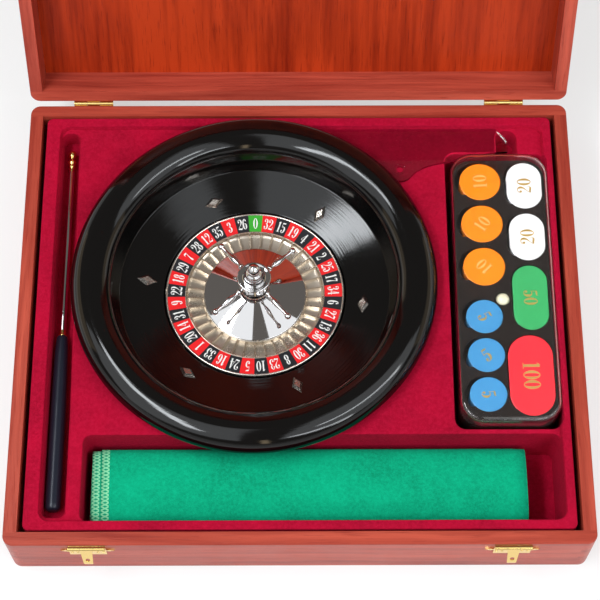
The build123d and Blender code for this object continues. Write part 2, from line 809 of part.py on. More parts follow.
def deflector(index, bowl):
    """One diamond on the apron, alternately along and across the ball's path."""
    half_long = deflector_length / 2
    half_wide = deflector_width / 2
    if index % 2:
        half_long, half_wide = half_wide, half_long
    plan = make_face(
        Polyline(
            (half_wide, 0), (0, half_long), (-half_wide, 0), (0, -half_long), (half_wide, 0)
        )
    )
    gem = extrude(plan, deflector_height, taper=38) + extrude(plan, -1.5)
    height = apron_low + (deflector_radius - apron_inner_radius) * tan(radians(apron_slope))
    turn = deflector_turn + index * 360 / deflector_count
    place = Pos(wheel_x, wheel_y) * Rot(0, 0, turn) * Pos(deflector_radius, 0, height)
    return place * Rot(0, -apron_slope, 0) * gem - bowl


def make_wheel():
    """Bowl, its deflectors and the spindle that the rotor turns on."""
    bowl = make_bowl()
    save("wheel_bowl", bowl)
    save("wheel_deflectors", *[deflector(index, bowl) for index in range(deflector_count)])
    flange_high = pan_floor + spindle_flange_height
    spindle = upright(spindle_flange_radius, pan_floor, flange_high, wheel_x, wheel_y)
    spindle += upright(spindle_radius, pan_floor, pan_floor + spindle_height, wheel_x, wheel_y)
    save("wheel_spindle", spindle)


# ---------------------------------------------------------------- rotor
trim_inner = rotor_radius - trim_width
rotor_bore = spindle_radius + pin_fit
turret_foot = cone_top_z
hub_radius = turret_base_radius - 2.0
hub_z = cone_top_z - cone_thickness


def make_rotor():
    """The turning part under the turret: disc, number ring, outer trim, pockets and cone."""
    disc = turned(
        [
            (rotor_bore, rotor_low),
            (rotor_radius, rotor_low),
            (rotor_radius, rotor_edge_z - 1.0),
            (trim_inner, rotor_edge_z - 1.0),
            (trim_inner, rotor_edge_z),
            (number_ring_inner, ring_low - number_ring_thickness),
            (number_ring_inner, pocket_floor - pocket_sheet),
            (pocket_inner, pocket_floor - pocket_sheet),
            (pocket_inner, cone_edge_z - cone_thickness),
            (turret_base_radius, hub_z),
            (rotor_bore, hub_z),
        ],
        wheel_x,
        wheel_y,
    )
    save("rotor_disc", disc)
    numbers = turned(
        [
            (number_ring_inner, ring_low - number_ring_thickness),
            (trim_inner, rotor_edge_z),
            (trim_inner, ring_high),
            (number_ring_inner, ring_low),
        ],
        wheel_x,
        wheel_y,
    )
    save("number_ring", numbers)
    trim = turned(
        [
            (trim_inner, rotor_edge_z - 1.0),
            (rotor_radius, rotor_edge_z - 1.0),
            (rotor_radius, ring_high + trim_proud * 0.5),
            ((trim_inner + rotor_radius) / 2, ring_high + trim_proud),
            (trim_inner, ring_high + trim_proud * 0.5),
        ],
        wheel_x,
        wheel_y,
    )
    save("rotor_trim_ring", trim)
    save("pocket_ring", pocket_ring())
    cone = turned(
        [
            (pocket_inner, cone_edge_z - cone_thickness),
            (pocket_inner, cone_edge_z),
            (turret_base_radius, cone_top_z),
            (hub_radius, cone_top_z),
            (hub_radius, hub_z),
            (turret_base_radius, hub_z),
        ],
        wheel_x,
        wheel_y,
    )
    save("rotor_cone", cone)


def pocket_ring():
    """The metal ring of pockets: a trough with a low outer wall and one fret between neighbours."""
    wall_in = number_ring_inner - pocket_sheet
    trough = turned(
        [
            (pocket_inner, pocket_floor - pocket_sheet),
            (number_ring_inner, pocket_floor - pocket_sheet),
            (number_ring_inner, ring_low),
            (wall_in, ring_low),
            (wall_in, pocket_floor),
            (pocket_inner, pocket_floor),
        ]
    )
    fret = extrude(
        Plane.XZ
        * make_face(
            Polyline(
                (pocket_inner, pocket_floor - 0.2),
                (wall_in + 0.3, pocket_floor - 0.2),
                (wall_in + 0.3, ring_low),
                (wall_in - 2.5, ring_low),
                (pocket_inner, cone_edge_z - 1.2),
                (pocket_inner, pocket_floor - 0.2),
            )
        ),
        fret_thickness / 2,
        both=True,
    )
    frets = [Rot(0, 0, (index + 0.5) * 360 / pocket_count + 90) * fret for index in range(pocket_count)]
    return Pos(wheel_x, wheel_y) * (trough + frets)


def make_turret():
    """The turned turret and the four turned handles that plug into its waist."""
    foot = turret_foot
    top = turret_height
    waist = turret_waist_radius
    disc = turret_disc_radius
    base = turret_base_radius
    outline = [
        (rotor_bore, hub_z),
        (hub_radius, hub_z),
        (hub_radius, foot),
        (base, foot),
        (base, foot + 1.6),
        (base - 1.2, foot + 2.8),
        (waist + 0.6, foot + 5.0),
        (waist, foot + 9.0),
        (waist, foot + 20.6),
        (waist + 0.6, foot + 21.4),
        (disc - 1.0, foot + 22.0),
        (disc, foot + 22.8),
        (disc - 0.2, foot + 24.2),
        (disc - 1.2, foot + 24.6),
        (9.0, foot + 23.6),
        (8.9, foot + 25.8),
        (7.7, foot + 27.4),
        (7.5, foot + 29.4),
        (6.4, foot + 30.6),
        (6.6, foot + 32.2),
        (4.2, foot + 33.8),
        (5.0, foot + 36.0),
        (5.3, foot + 38.4),
        (4.4, foot + 41.0),
        (2.4, foot + 42.7),
        (0, foot + top),
        (0, pan_floor + spindle_height + 0.5),
        (rotor_bore, pan_floor + spindle_height + 0.5),
    ]
    turret = turned(outline)
    handles = []
    for index in range(handle_count):
        place = Rot(0, 0, handle_turn + index * 360 / handle_count)
        place = place * Pos(0, 0, foot + handle_height) * Rot(0, 90 + handle_droop, 0)
        turret -= place * Pos(0, 0, waist) * Cylinder(handle_tenon_radius + handle_fit, 7.0)
        handles.append(Pos(wheel_x, wheel_y) * place * handle())
    save("turret", Pos(wheel_x, wheel_y) * turret)
    save("turret_handles", *handles)


def handle():
    """A turned handle along +Z, measured from the turret's axis."""
    waist = turret_waist_radius
    ball = handle_ball_radius
    reach = handle_reach
    span = reach - waist
    radii = (
        (waist - 3.2, 0),
        (waist - 3.2, handle_tenon_radius),
        (waist + 0.6, handle_tenon_radius),
        (waist + 0.6, 2.0),
        (waist + span * 0.09, 2.0),
        (waist + span * 0.14, 1.3),
        (waist + span * 0.21, 2.5),
        (waist + span * 0.27, 1.5),
        (waist + span * 0.48, 2.6),
        (waist + span * 0.82, 1.3),
        (reach - ball * 0.8, 1.7),
        (reach - ball * 0.5, ball * 0.87),
        (reach, ball),
        (reach + ball * 0.5, ball * 0.87),
        (reach + ball * 0.87, ball * 0.5),
        (reach + ball, 0),
    )
    return turned([(radius, height) for height, radius in radii])


# ---------------------------------------------------------------- rake
stick_z = slot_floor + grip_radius
slot_drift = (flange_top - stick_z) * tan(radians(wall_draft))
stick_x = slot_left + slot_drift + stick_side_gap + grip_radius


def along_stick(points):
    """A turned piece on the stick's line, from (place along Y, radius) points."""
    outline = [(radius, place) for place, radius in points]
    return Pos(stick_x, 0, stick_z) * Rot(-90, 0, 0) * turned(outline)


def make_stick():
    """Grip, ferrule, rod and turned tip, which lie in the slot."""
    back = plateau_front + step_run + slot_end_margin + slot_lean + grip_end_gap
    grip_end = back + grip_length
    ferrule_end = grip_end + ferrule_length
    rod_end = ferrule_end + rod_length
    r = grip_radius
    grip = [
        (back, 0),
        (back, r * 0.55),
        (back + 1.2, r * 0.85),
        (back + 3.5, r),
        (grip_end - grip_taper, r),
        (grip_end - 14, r * 0.86),
        (grip_end - 2, r * 0.74),
        (grip_end, r * 0.6),
        (grip_end, 0),
    ]
    save("stick_grip", along_stick(grip))
    f = ferrule_radius
    ferrule = [
        (grip_end, 0),
        (grip_end, f),
        (grip_end + 1.2, f),
        (grip_end + 2.0, f * 0.85),
        (ferrule_end, f * 0.85),
        (ferrule_end, 0),
    ]
    save("stick_ferrule", along_stick(ferrule))
    rod = [(ferrule_end, 0), (ferrule_end, rod_radius), (rod_end, rod_radius), (rod_end, 0)]
    save("stick_rod", along_stick(rod))
    tip = [
        (rod_end, 0),
        (rod_end, 1.7),
        (rod_end + tip_length * 0.18, 1.7),
        (rod_end + tip_length * 0.24, 2.9),
        (rod_end + tip_length * 0.34, 2.4),
        (rod_end + tip_length * 0.42, 3.6),
        (rod_end + tip_length * 0.50, 3.6),
        (rod_end + tip_length * 0.56, 1.7),
        (rod_end + tip_length * 0.66, 1.8),
        (rod_end + tip_length * 0.70, 3.0),
        (rod_end + tip_length * 0.84, 3.5),
        (rod_end + tip_length * 0.96, 2.8),
        (rod_end + tip_length, 0),
    ]
    save("stick_tip", along_stick(tip))


def make_rake_head():
    """The clear blade: long bevelled edge, cut corners, and sides that sweep in to a round neck."""
    rear = rake_rear
    end_y = rear - rake_corner_y
    front_y = end_y - rake_end_length
    half = rake_half_width
    neck_turn = radians(-38)
    neck_x = rake_neck_radius * cos(neck_turn)
    neck_y = rake_neck_y + rake_neck_radius * sin(neck_turn)
    side = Spline(
        (half, front_y),
        (half * 0.48, rake_neck_y + (front_y - rake_neck_y) * 0.5),
        (neck_x, neck_y),
        tangents=((-1, 0), (-cos(neck_turn + 1.57), -sin(neck_turn + 1.57))),
    )
    edge = Polyline((0, rear), (half - rake_corner_x, rear), (half, end_y), (half, front_y))
    tip = ThreePointArc(
        (neck_x, neck_y),
        (rake_neck_radius * cos(neck_turn - 0.45), rake_neck_y + rake_neck_radius * sin(neck_turn - 0.45)),
        (0, rake_neck_y - rake_neck_radius),
    )
    half_plan = make_face([edge, side, tip, Line((0, rake_neck_y - rake_neck_radius), (0, rear))])
    plan = half_plan + half_plan.mirror(Plane.YZ)
    blade = extrude(Pos(rake_middle, 0, plateau) * plan, rake_thickness)
    top = plateau + rake_thickness
    bevel = make_face(
        Polyline(
            (rear - rake_bevel_width, top),
            (rear + 1, top + rake_bevel_depth / rake_bevel_width),
            (rear + 1, top - rake_bevel_depth),
            (rear, top - rake_bevel_depth),
            (rear - rake_bevel_width, top),
        )
    )
    blade -= Pos(rake_middle, 0, 0) * extrude(Plane.YZ * bevel, half, both=True)
    blade -= upright(rake_hole_radius, plateau - 1, top + 1, rake_middle, rake_neck_y)
    blade -= upright(rake_sink_radius, top - rake_sink_depth, top + 1, rake_middle, rake_neck_y)
    save("rake_head", blade)


# ---------------------------------------------------------------- chip box
box_foot = tray_floor
ledge_z = box_foot + box_ledge_height
box_top = ledge_z + box_top_rise
cup_low = box_foot + cup_floor
stack_top = cup_low + chip_stack_height


def column(rear_margin, lengths, webs):
    """Middles along Y of a column of stacks, from the rear of the box, seen from its middle."""
    middles = []
    rear = box_length / 2 - rear_margin
    for length, web in zip(lengths, webs):
        middles.append(rear - length / 2)
        rear -= length + web
    return middles


def stacks():
    """Every stack as (node, x, y, width, length, window's reach), seen from the box's middle."""
    tens, fives = [2 * ten_radius] * 3, [2 * five_radius] * 3
    webs = [ten_web, ten_web, ball_row, five_web, five_web, 0]
    round_y = column(round_rear_margin, tens + fives, webs)
    left, right = -box_width / 2, box_width / 2
    ten_x = left + ten_side_margin + ten_radius
    five_x = left + five_side_margin + five_radius
    found = []
    for y in round_y[:3]:
        found.append(("chips_ten", ten_x, y, *tens[:2], cup_window_reach))
    for y in round_y[3:]:
        found.append(("chips_five", five_x, y, *fives[:2], cup_window_reach))
    plaques = (
        ("plaques_twenty", twenty_side_margin, twenty_width, twenty_length, row_web),
        ("plaques_twenty", twenty_side_margin, twenty_width, twenty_length, row_web),
        ("plaque_fifty", fifty_side_margin, fifty_width, fifty_length, ball_web),
        ("plaque_hundred", hundred_side_margin, hundred_width, hundred_length, narrow_web),
    )
    plaque_y = column(plaque_rear_margin, [plaque[3] for plaque in plaques], [plaque_web] * 4)
    for (name, margin, width, length, web), y in zip(plaques, plaque_y):
        found.append((name, right - margin - width / 2, y, width, length, web * window_share))
    return found


def stack_plan(width, length, grow=0.0):
    """A round chip, or a plaque with round ends where it is longer than wide."""
    if length > width:
        return SlotOverall(length + 2 * grow, width + 2 * grow, rotation=90)
    return Circle(width / 2 + grow)


def window_plan(width, length, reach):
    """The window beside a stack: its own outline moved left, and cut off square at the lower left."""
    moved = Pos(-reach, 0) * stack_plan(width, length, cup_fit)
    low = -length / 2 + width / 2 * (1 - sin(radians(45)))
    return moved & rounded_plan(-width, 0, low, length, cup_fit)


def make_chip_box():
    """Tray with a cup for each stack, the stacks, the ball and the clear cover."""
    origin = Pos(box_x, box_y)
    shrink = box_ledge_height * tan(radians(box_draft))
    foot = RectangleRounded(box_width - 2 * shrink, box_length - 2 * shrink, box_corner - shrink)
    tray = extrude(Pos(0, 0, box_foot) * foot, box_ledge_height, taper=-box_draft)
    inset = cover_sheet + cover_fit
    raised = RectangleRounded(box_width - 2 * inset, box_length - 2 * inset, box_corner - inset)
    tray += extrude(Pos(0, 0, ledge_z) * raised, box_top_rise)
    nodes = {}
    found = stacks()
    for name, x, y, width, length, reach in found:
        here = Pos(x, y, cup_low)
        tray -= extrude(here * stack_plan(width, length, cup_fit), box_top - cup_low + 1)
        window = Pos(x, y, box_top - cup_window_drop) * window_plan(width, length, reach)
        tray -= extrude(window, cup_window_drop + 1)
        lower = extrude(here * stack_plan(width, length), chip_stack_height - top_chip_thickness)
        upper_low = Pos(x, y, stack_top - top_chip_thickness)
        upper = extrude(upper_low * stack_plan(width, length), top_chip_thickness)
        upper = fillet(upper.faces().sort_by(Axis.Z)[-1].edges(), top_chip_round)
        nodes.setdefault(name, []).extend([origin * lower, origin * upper])
    five_x, five_y = next((x, y) for name, x, y, *rest in found if name == "chips_five")
    ball_x = five_x + ball_reach * cos(ball_turn)
    ball_y = five_y + ball_reach * sin(ball_turn)
    ball_z = box_top - ball_sink
    seat_radius = ball_radius + ball_fit
    tray -= upright(seat_radius, ball_z, box_top + 1, ball_x, ball_y)
    tray -= Pos(ball_x, ball_y, ball_z) * Sphere(seat_radius)
    save("chip_tray", origin * tray)
    for name, solids in nodes.items():
        save(name, *solids)
    seated = Pos(ball_x, ball_y, ball_z - ball_fit * 0.75)
    save("roulette_ball", origin * seated * Sphere(ball_radius))
    outside = extrude(
        Pos(0, 0, ledge_z) * RectangleRounded(box_width, box_length, box_corner), cover_height
    )
    outside = fillet(outside.faces().sort_by(Axis.Z)[-1].edges(), cover_round)
    inside = extrude(
        Pos(0, 0, ledge_z)
        * RectangleRounded(
            box_width - 2 * cover_sheet, box_length - 2 * cover_sheet, box_corner - cover_sheet
        ),
        cover_height - cover_sheet,
    )
    inside = fillet(inside.faces().sort_by(Axis.Z)[-1].edges(), cover_round - cover_sheet)
    save("clear_cover", origin * (outside - inside))


make_case()
make_latches()
make_tray()
make_cloth()
make_wheel()
make_rotor()
make_turret()
make_stick()
make_rake_head()
make_chip_box()
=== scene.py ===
"""Roulette set in a hinged wooden case: surfaces, finishes, printed numbers, cloth and studio."""
import logging
import math
from dataclasses import dataclass
from enum import Enum
from typing import Callable, Sequence

import bmesh
import bpy
import numpy as np
from mathutils import Matrix, Vector


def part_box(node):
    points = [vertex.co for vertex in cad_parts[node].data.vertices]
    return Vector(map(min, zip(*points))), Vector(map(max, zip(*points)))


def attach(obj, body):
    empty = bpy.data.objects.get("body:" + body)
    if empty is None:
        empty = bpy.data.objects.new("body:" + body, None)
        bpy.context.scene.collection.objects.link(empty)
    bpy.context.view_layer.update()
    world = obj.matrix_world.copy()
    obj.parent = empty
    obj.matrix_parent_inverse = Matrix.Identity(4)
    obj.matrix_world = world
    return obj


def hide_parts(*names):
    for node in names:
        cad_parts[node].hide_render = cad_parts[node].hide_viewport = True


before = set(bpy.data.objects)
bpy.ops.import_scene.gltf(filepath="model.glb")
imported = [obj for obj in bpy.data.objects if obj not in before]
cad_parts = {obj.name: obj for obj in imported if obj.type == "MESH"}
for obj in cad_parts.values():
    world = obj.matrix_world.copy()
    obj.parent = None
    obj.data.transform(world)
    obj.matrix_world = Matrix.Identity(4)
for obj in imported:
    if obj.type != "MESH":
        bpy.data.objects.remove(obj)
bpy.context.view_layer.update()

MM = 0.001
log = logging.getLogger("roulette_set")
Points = np.ndarray


# ------------------------------------------------------------------ surfaces
def dull_edges(obj: bpy.types.Object, angle: float = 32.0) -> bpy.types.Object:
    """Shades a mesh smooth, with sharp edges above an angle.

    Args:
        obj: the mesh object.
        angle: the angle in degrees from which an edge is sharp.

    Returns:
        The same object.
    """
    obj.data.shade_smooth()
    obj.data.set_sharp_from_angle(angle=math.radians(angle))
    return obj


def mesh_object(
    name: str, points: Points, faces: Sequence[Sequence[int]], slots: Sequence[int] | None = None
) -> bpy.types.Object:
    """Makes a closed mesh object from points in millimetres.

    Args:
        name: the object's name.
        points: an array of (n, 3) points in millimetres.
        faces: lists of point numbers.
        slots: a material slot number for each face.

    Returns:
        The object, with doubles merged and normals outwards.
    """
    data = bpy.data.meshes.new(name)
    data.from_pydata((points * MM).tolist(), [], [list(face) for face in faces])
    if slots is not None:
        data.polygons.foreach_set("material_index", np.asarray(slots, dtype=np.int32))
    work = bmesh.new()
    work.from_mesh(data)
    bmesh.ops.remove_doubles(work, verts=work.verts, dist=2e-6)
    bmesh.ops.recalc_face_normals(work, faces=work.faces)
    work.to_mesh(data)
    work.free()
    obj = bpy.data.objects.new(name, data)
    bpy.context.scene.collection.objects.link(obj)
    return dull_edges(obj)


def quads(rows: int, columns: int, wrap_rows: bool, wrap_columns: bool) -> Points:
    """The faces of a grid of points numbered row by row.

    Args:
        rows: number of rows.
        columns: number of columns.
        wrap_rows: whether the last row meets the first.
        wrap_columns: whether the last column meets the first.

    Returns:
        An array of (n, 4) point numbers.
    """
    row = np.arange(rows if wrap_rows else rows - 1)
    column = np.arange(columns if wrap_columns else columns - 1)
    a, b = np.meshgrid(row, column, indexing="ij")
    a_next, b_next = (a + 1) % rows, (b + 1) % columns
    return np.stack(
        [a * columns + b, a * columns + b_next, a_next * columns + b_next, a_next * columns + b], -1
    ).reshape(-1, 4)


def capped(rings: Points) -> tuple[Points, list]:
    """Skins rings of equal point counts into one surface and closes both of its ends.

    Args:
        rings: an array of (rings, points, 3).

    Returns:
        Points and faces.
    """
    count, around = rings.shape[:2]
    faces = quads(count, around, False, True).tolist()
    faces += [list(range(around)), list(range((count - 1) * around, count * around))]
    return rings.reshape(-1, 3), faces


def softened(profile: Sequence[tuple[float, float]], radius: float) -> Points:
    """Rounds the corners of a profile.

    Each corner is replaced by a quadratic curve between two points set back along its edges by the
    radius or by 0.4 of the edge, whichever is less.

    Args:
        profile: (radius, height) points.
        radius: the set-back in millimetres.

    Returns:
        The rounded profile.
    """
    points = np.asarray(profile, dtype=float)
    before, corner, after = points[:-2], points[1:-1], points[2:]
    back, ahead = before - corner, after - corner
    back_length = np.linalg.norm(back, axis=1, keepdims=True)
    ahead_length = np.linalg.norm(ahead, axis=1, keepdims=True)
    start = corner + back / back_length * np.minimum(radius, 0.4 * back_length)
    end = corner + ahead / ahead_length * np.minimum(radius, 0.4 * ahead_length)
    steps = np.linspace(0, 1, 4)[None, :, None]
    curve = (
        (1 - steps) ** 2 * start[:, None]
        + 2 * steps * (1 - steps) * corner[:, None]
        + steps**2 * end[:, None]
    )
    return np.vstack([points[:1], curve.reshape(-1, 2), points[-1:]])


def through(points: Sequence[tuple[float, ...]], steps: int = 10) -> Points:
    """A smooth curve through points: cubic pieces whose slopes are the chords between neighbours.

    Args:
        points: the points that it passes; columns after the first two are carried along.
        steps: samples between two points.

    Returns:
        The sampled curve.
    """
    p = np.asarray(points, dtype=float)
    length = np.maximum(np.linalg.norm(np.diff(p[:, :2], axis=0), axis=1), 1e-9)
    slope = np.gradient(p, running(length), axis=0)
    t = np.linspace(0, 1, steps, endpoint=False)[None, :, None]
    h = length[:, None, None]
    a, b = p[:-1, None], p[1:, None]
    m, n = slope[:-1, None] * h, slope[1:, None] * h
    curve = (
        (2 * t**3 - 3 * t**2 + 1) * a
        + (t**3 - 2 * t**2 + t) * m
        + (3 * t**2 - 2 * t**3) * b
        + (t**3 - t**2) * n
    )
    return np.vstack([curve.reshape(-1, p.shape[1]), p[-1:]])


def revolved(profile: Points, around: int) -> tuple[Points, list]:
    """A surface of revolution about +Z: (r cos a, r sin a, z) for each profile point.

    Args:
        profile: (radius, height) points.
        around: points on a circle.

    Returns:
        Points and faces.
    """
    angle = np.linspace(0, 2 * np.pi, around, endpoint=False)
    r, z = profile[:, 0][:, None], profile[:, 1][:, None]
    height = np.broadcast_to(z, (len(r), around))
    rings = np.stack([r * np.cos(angle), r * np.sin(angle), height], -1)
    return rings.reshape(-1, 3), quads(len(profile), around, False, True).tolist()


def lathe(name: str, profile: Points, x: float, y: float, around: int) -> bpy.types.Object:
    """A surface of revolution about an upright axis.

    Args:
        name: the object's name.
        profile: (radius, height) points.
        x: the axis's place.
        y: the axis's place.
        around: points on a circle.

    Returns:
        The object.
    """
    points, faces = revolved(profile, around)
    return mesh_object(name, points + np.array([x, y, 0.0]), faces)


def pose(x: float, y: float, z: float, *turns: tuple[float, str]) -> Matrix:
    """The matrix of a place and of the turns made there.

    Args:
        x: the place.
        y: the place.
        z: the place.
        turns: the angle in radians and the axis of each turn, the last turn made first.

    Returns:
        The matrix.
    """
    matrix = Matrix.Translation((x, y, z))
    for angle, axis in turns:
        matrix = matrix @ Matrix.Rotation(angle, 4, axis)
    return matrix


def placed(points: Points, matrix: Matrix) -> Points:
    """Moves (n, 3) points by a matrix."""
    turn = np.array(matrix)
    return points @ turn[:3, :3].T + turn[:3, 3]


def running(steps: Points) -> Points:
    """The running length at each point, from the steps between points."""
    return np.concatenate([[0], np.cumsum(steps)])


def gathered(name: str, parts: Sequence[tuple[Points, list]]) -> bpy.types.Object:
    """Joins several point and face arrays into one object."""
    points, faces, start = [], [], 0
    for part_points, part_faces in parts:
        points.append(part_points)
        faces.extend((np.asarray(face) + start).tolist() for face in part_faces)
        start += len(part_points)
    return mesh_object(name, np.vstack(points), faces)


def stadium(width: float, length: float, count: int = 96) -> Callable[[float], Points]:
    """The outline of a plaque with round ends, or of a round chip when both sizes are equal.

    A point is the end of a half-width that turns once, its root stepping from one end's middle to
    the other's at a quarter and three quarters of the turn.

    Args:
        width: the size across.
        length: the size along Y.
        count: points on the outline.

    Returns:
        A function of an inset that gives (count, 2) points.
    """
    angle = (np.arange(count) + 0.5) * 2 * np.pi / count
    shift = (length - width) / 2 * np.sign(np.sin(angle))

    def outline(inset: float) -> Points:
        """The outline moved inwards by the inset."""
        r = width / 2 - inset
        return np.stack([r * np.cos(angle), shift + r * np.sin(angle)], -1)

    return outline


def rounded_box(
    width: float, length: float, radius: float, count: int
) -> Callable[[float], Points]:
    """The outline of a rectangle with round corners.

    A point is the end of a corner radius that turns once; its root stands at the middle of the
    corner that its angle faces.

    Args:
        width: the size along X.
        length: the size along Y.
        radius: the corner radius.
        count: points on the outline.

    Returns:
        A function of an inset that gives (count, 2) points.
    """
    angle = (np.arange(count) + 0.5) * 2 * np.pi / count
    root = np.stack(
        [
            (width / 2 - radius) * np.sign(np.cos(angle)),
            (length / 2 - radius) * np.sign(np.sin(angle)),
        ],
        -1,
    )

    def outline(inset: float) -> Points:
        """The outline moved inwards by the inset."""
        r = max(radius - inset, 0.05)
        return root + r * np.stack([np.cos(angle), np.sin(angle)], -1)

    return outline


def stacked(
    outline: Callable[[float], Points], profile: Points, x: float, y: float
) -> Points:
    """Rings of an outline at each (inset, height) of a profile."""
    rings = []
    for inset, height in profile:
        flat = outline(inset)
        rings.append(np.column_stack([flat[:, 0] + x, flat[:, 1] + y, np.full(len(flat), height)]))
    return np.array(rings)


@dataclass(frozen=True)
class Glyph:
    """One digit as drawn by a broad pen, one unit high about its own middle.

    A stroke is a list of (x, y, width of the pen); a dot is (x, y, radius); an oval is (x, y, half
    width, half height, thin width, thick width), thick at its sides.
    """

    strokes: tuple = ()
    dots: tuple = ()
    ovals: tuple = ()

    def ribbon(self, line: Points, loop: bool, depth: float) -> tuple[Points, list]:
        """A stroke as a solid: a rectangle as wide as the pen is carried along the line.

        Args:
            line: (n, 3) points of place and width.
            loop: whether the line closes on itself.
            depth: the solid's thickness.

        Returns:
            Points and faces.
        """
        ahead, back = np.roll(line, -1, axis=0), np.roll(line, 1, axis=0)
        run = (ahead - back)[:, :2] if loop else np.gradient(line[:, :2], axis=0)
        length = np.maximum(np.linalg.norm(run, axis=1, keepdims=True), 1e-9)
        side = np.stack([-run[:, 1], run[:, 0]], -1) / length
        reach = side * line[:, 2:] / 2
        left, right = line[:, :2] + reach, line[:, :2] - reach
        corners = [(left, depth), (right, depth), (right, -depth), (left, -depth)]
        rings = np.stack(
            [np.column_stack([flat, np.full(len(flat), z / 2)]) for flat, z in corners], 1
        )
        faces = quads(len(line), 4, loop, True).tolist()
        if not loop:
            faces += [[0, 1, 2, 3], [4 * len(line) - 4 + corner for corner in range(4)]]
        return rings.reshape(-1, 3), faces

    def solids(self, depth: float) -> list[tuple[Points, list]]:
        """Every stroke, oval and dot as a solid.

        Args:
            depth: the thickness.

        Returns:
            A list of points and faces.
        """
        parts = [self.ribbon(through(stroke, 6), False, depth) for stroke in self.strokes]
        turn = np.linspace(0, 2 * np.pi, 32, endpoint=False)
        for x, y, across, up, thin, thick in self.ovals:
            width = thin + (thick - thin) * np.cos(turn) ** 2
            line = np.stack([x + across * np.cos(turn), y + up * np.sin(turn), width], -1)
            parts.append(self.ribbon(line, True, depth))
        for x, y, radius in self.dots:
            flat = np.stack([x + radius * np.cos(turn[::2]), y + radius * np.sin(turn[::2])], -1)
            ends = [np.column_stack([flat, np.full(len(flat), z)]) for z in (-depth / 2, depth / 2)]
            parts.append(capped(np.array(ends)))
        return parts


SIX = Glyph(
    (
        (
            (0.17, 0.40, 0.03), (0.08, 0.478, 0.04), (-0.06, 0.44, 0.08), (-0.165, 0.24, 0.15),
            (-0.195, -0.04, 0.18), (-0.165, -0.29, 0.16), (-0.08, -0.44, 0.08), (0.02, -0.48, 0.04),
            (0.12, -0.40, 0.11), (0.165, -0.2, 0.165), (0.13, -0.02, 0.11), (0.03, 0.06, 0.04),
            (-0.08, 0.01, 0.03), (-0.14, -0.1, 0.03),
        ),
    ),
    ((0.12, 0.35, 0.08),),
)
GLYPHS = {
    "0": Glyph(ovals=((0, 0, 0.2, 0.475, 0.05, 0.18),)),
    "1": Glyph(
        (
            ((0.02, 0.5, 0.17), (0.02, -0.48, 0.17)),
            ((-0.17, 0.32, 0.02), (-0.12, 0.37, 0.04), (-0.05, 0.43, 0.10)),
            ((-0.17, -0.48, 0.04), (0.21, -0.48, 0.04)),
        )
    ),
    "2": Glyph(
        (
            (
                (-0.25, 0.26, 0.03), (-0.21, 0.41, 0.05), (-0.04, 0.475, 0.05), (0.12, 0.40, 0.13),
                (0.16, 0.25, 0.18), (0.11, 0.07, 0.12), (-0.05, -0.14, 0.05), (-0.2, -0.32, 0.04),
                (-0.24, -0.44, 0.05),
            ),
            (
                (-0.25, -0.46, 0.05), (-0.12, -0.41, 0.12), (0.03, -0.43, 0.14),
                (0.16, -0.44, 0.12), (0.23, -0.34, 0.04), (0.25, -0.2, 0.03),
            ),
        ),
        ((-0.17, 0.25, 0.09),),
    ),
    "3": Glyph(
        (
            (
                (-0.23, 0.31, 0.03), (-0.17, 0.43, 0.05), (-0.03, 0.475, 0.05), (0.10, 0.40, 0.12),
                (0.135, 0.27, 0.165), (0.09, 0.12, 0.10), (-0.05, 0.05, 0.04),
            ),
            (
                (-0.06, 0.045, 0.04), (0.06, 0.01, 0.07), (0.155, -0.12, 0.16),
                (0.165, -0.24, 0.18), (0.10, -0.40, 0.12), (-0.04, -0.475, 0.05),
                (-0.18, -0.43, 0.05), (-0.24, -0.32, 0.03),
            ),
        ),
        ((-0.165, 0.29, 0.085), (-0.165, -0.29, 0.09)),
    ),
    "4": Glyph(
        (
            ((0.08, 0.49, 0.16), (0.08, -0.48, 0.16)),
            ((0.09, 0.49, 0.03), (-0.26, -0.17, 0.04)),
            ((-0.27, -0.19, 0.05), (0.27, -0.19, 0.05)),
            ((-0.05, -0.48, 0.04), (0.21, -0.48, 0.04)),
        )
    ),
    "5": Glyph(
        (
            ((-0.19, 0.42, 0.10), (0.0, 0.43, 0.13), (0.13, 0.45, 0.08), (0.19, 0.5, 0.02)),
            ((-0.19, 0.47, 0.04), (-0.19, 0.02, 0.04)),
            (
                (-0.2, 0.02, 0.03), (-0.09, 0.10, 0.05), (0.05, 0.09, 0.08), (0.155, -0.04, 0.16),
                (0.165, -0.2, 0.18), (0.10, -0.39, 0.12), (-0.03, -0.475, 0.05),
                (-0.17, -0.44, 0.05), (-0.23, -0.32, 0.03),
            ),
        ),
        ((-0.15, -0.3, 0.09),),
    ),
    "6": SIX,
    "7": Glyph(
        (
            (
                (-0.23, 0.24, 0.03), (-0.2, 0.38, 0.06), (-0.12, 0.42, 0.13), (0.02, 0.42, 0.15),
                (0.14, 0.42, 0.13), (0.22, 0.46, 0.05),
            ),
            (
                (0.22, 0.47, 0.04), (0.09, 0.18, 0.06), (-0.01, -0.1, 0.13), (-0.04, -0.3, 0.18),
                (-0.04, -0.49, 0.18),
            ),
        )
    ),
    "8": Glyph(ovals=((0, 0.245, 0.14, 0.225, 0.05, 0.15), (0, -0.225, 0.175, 0.25, 0.05, 0.17))),
    "9": SIX,
}


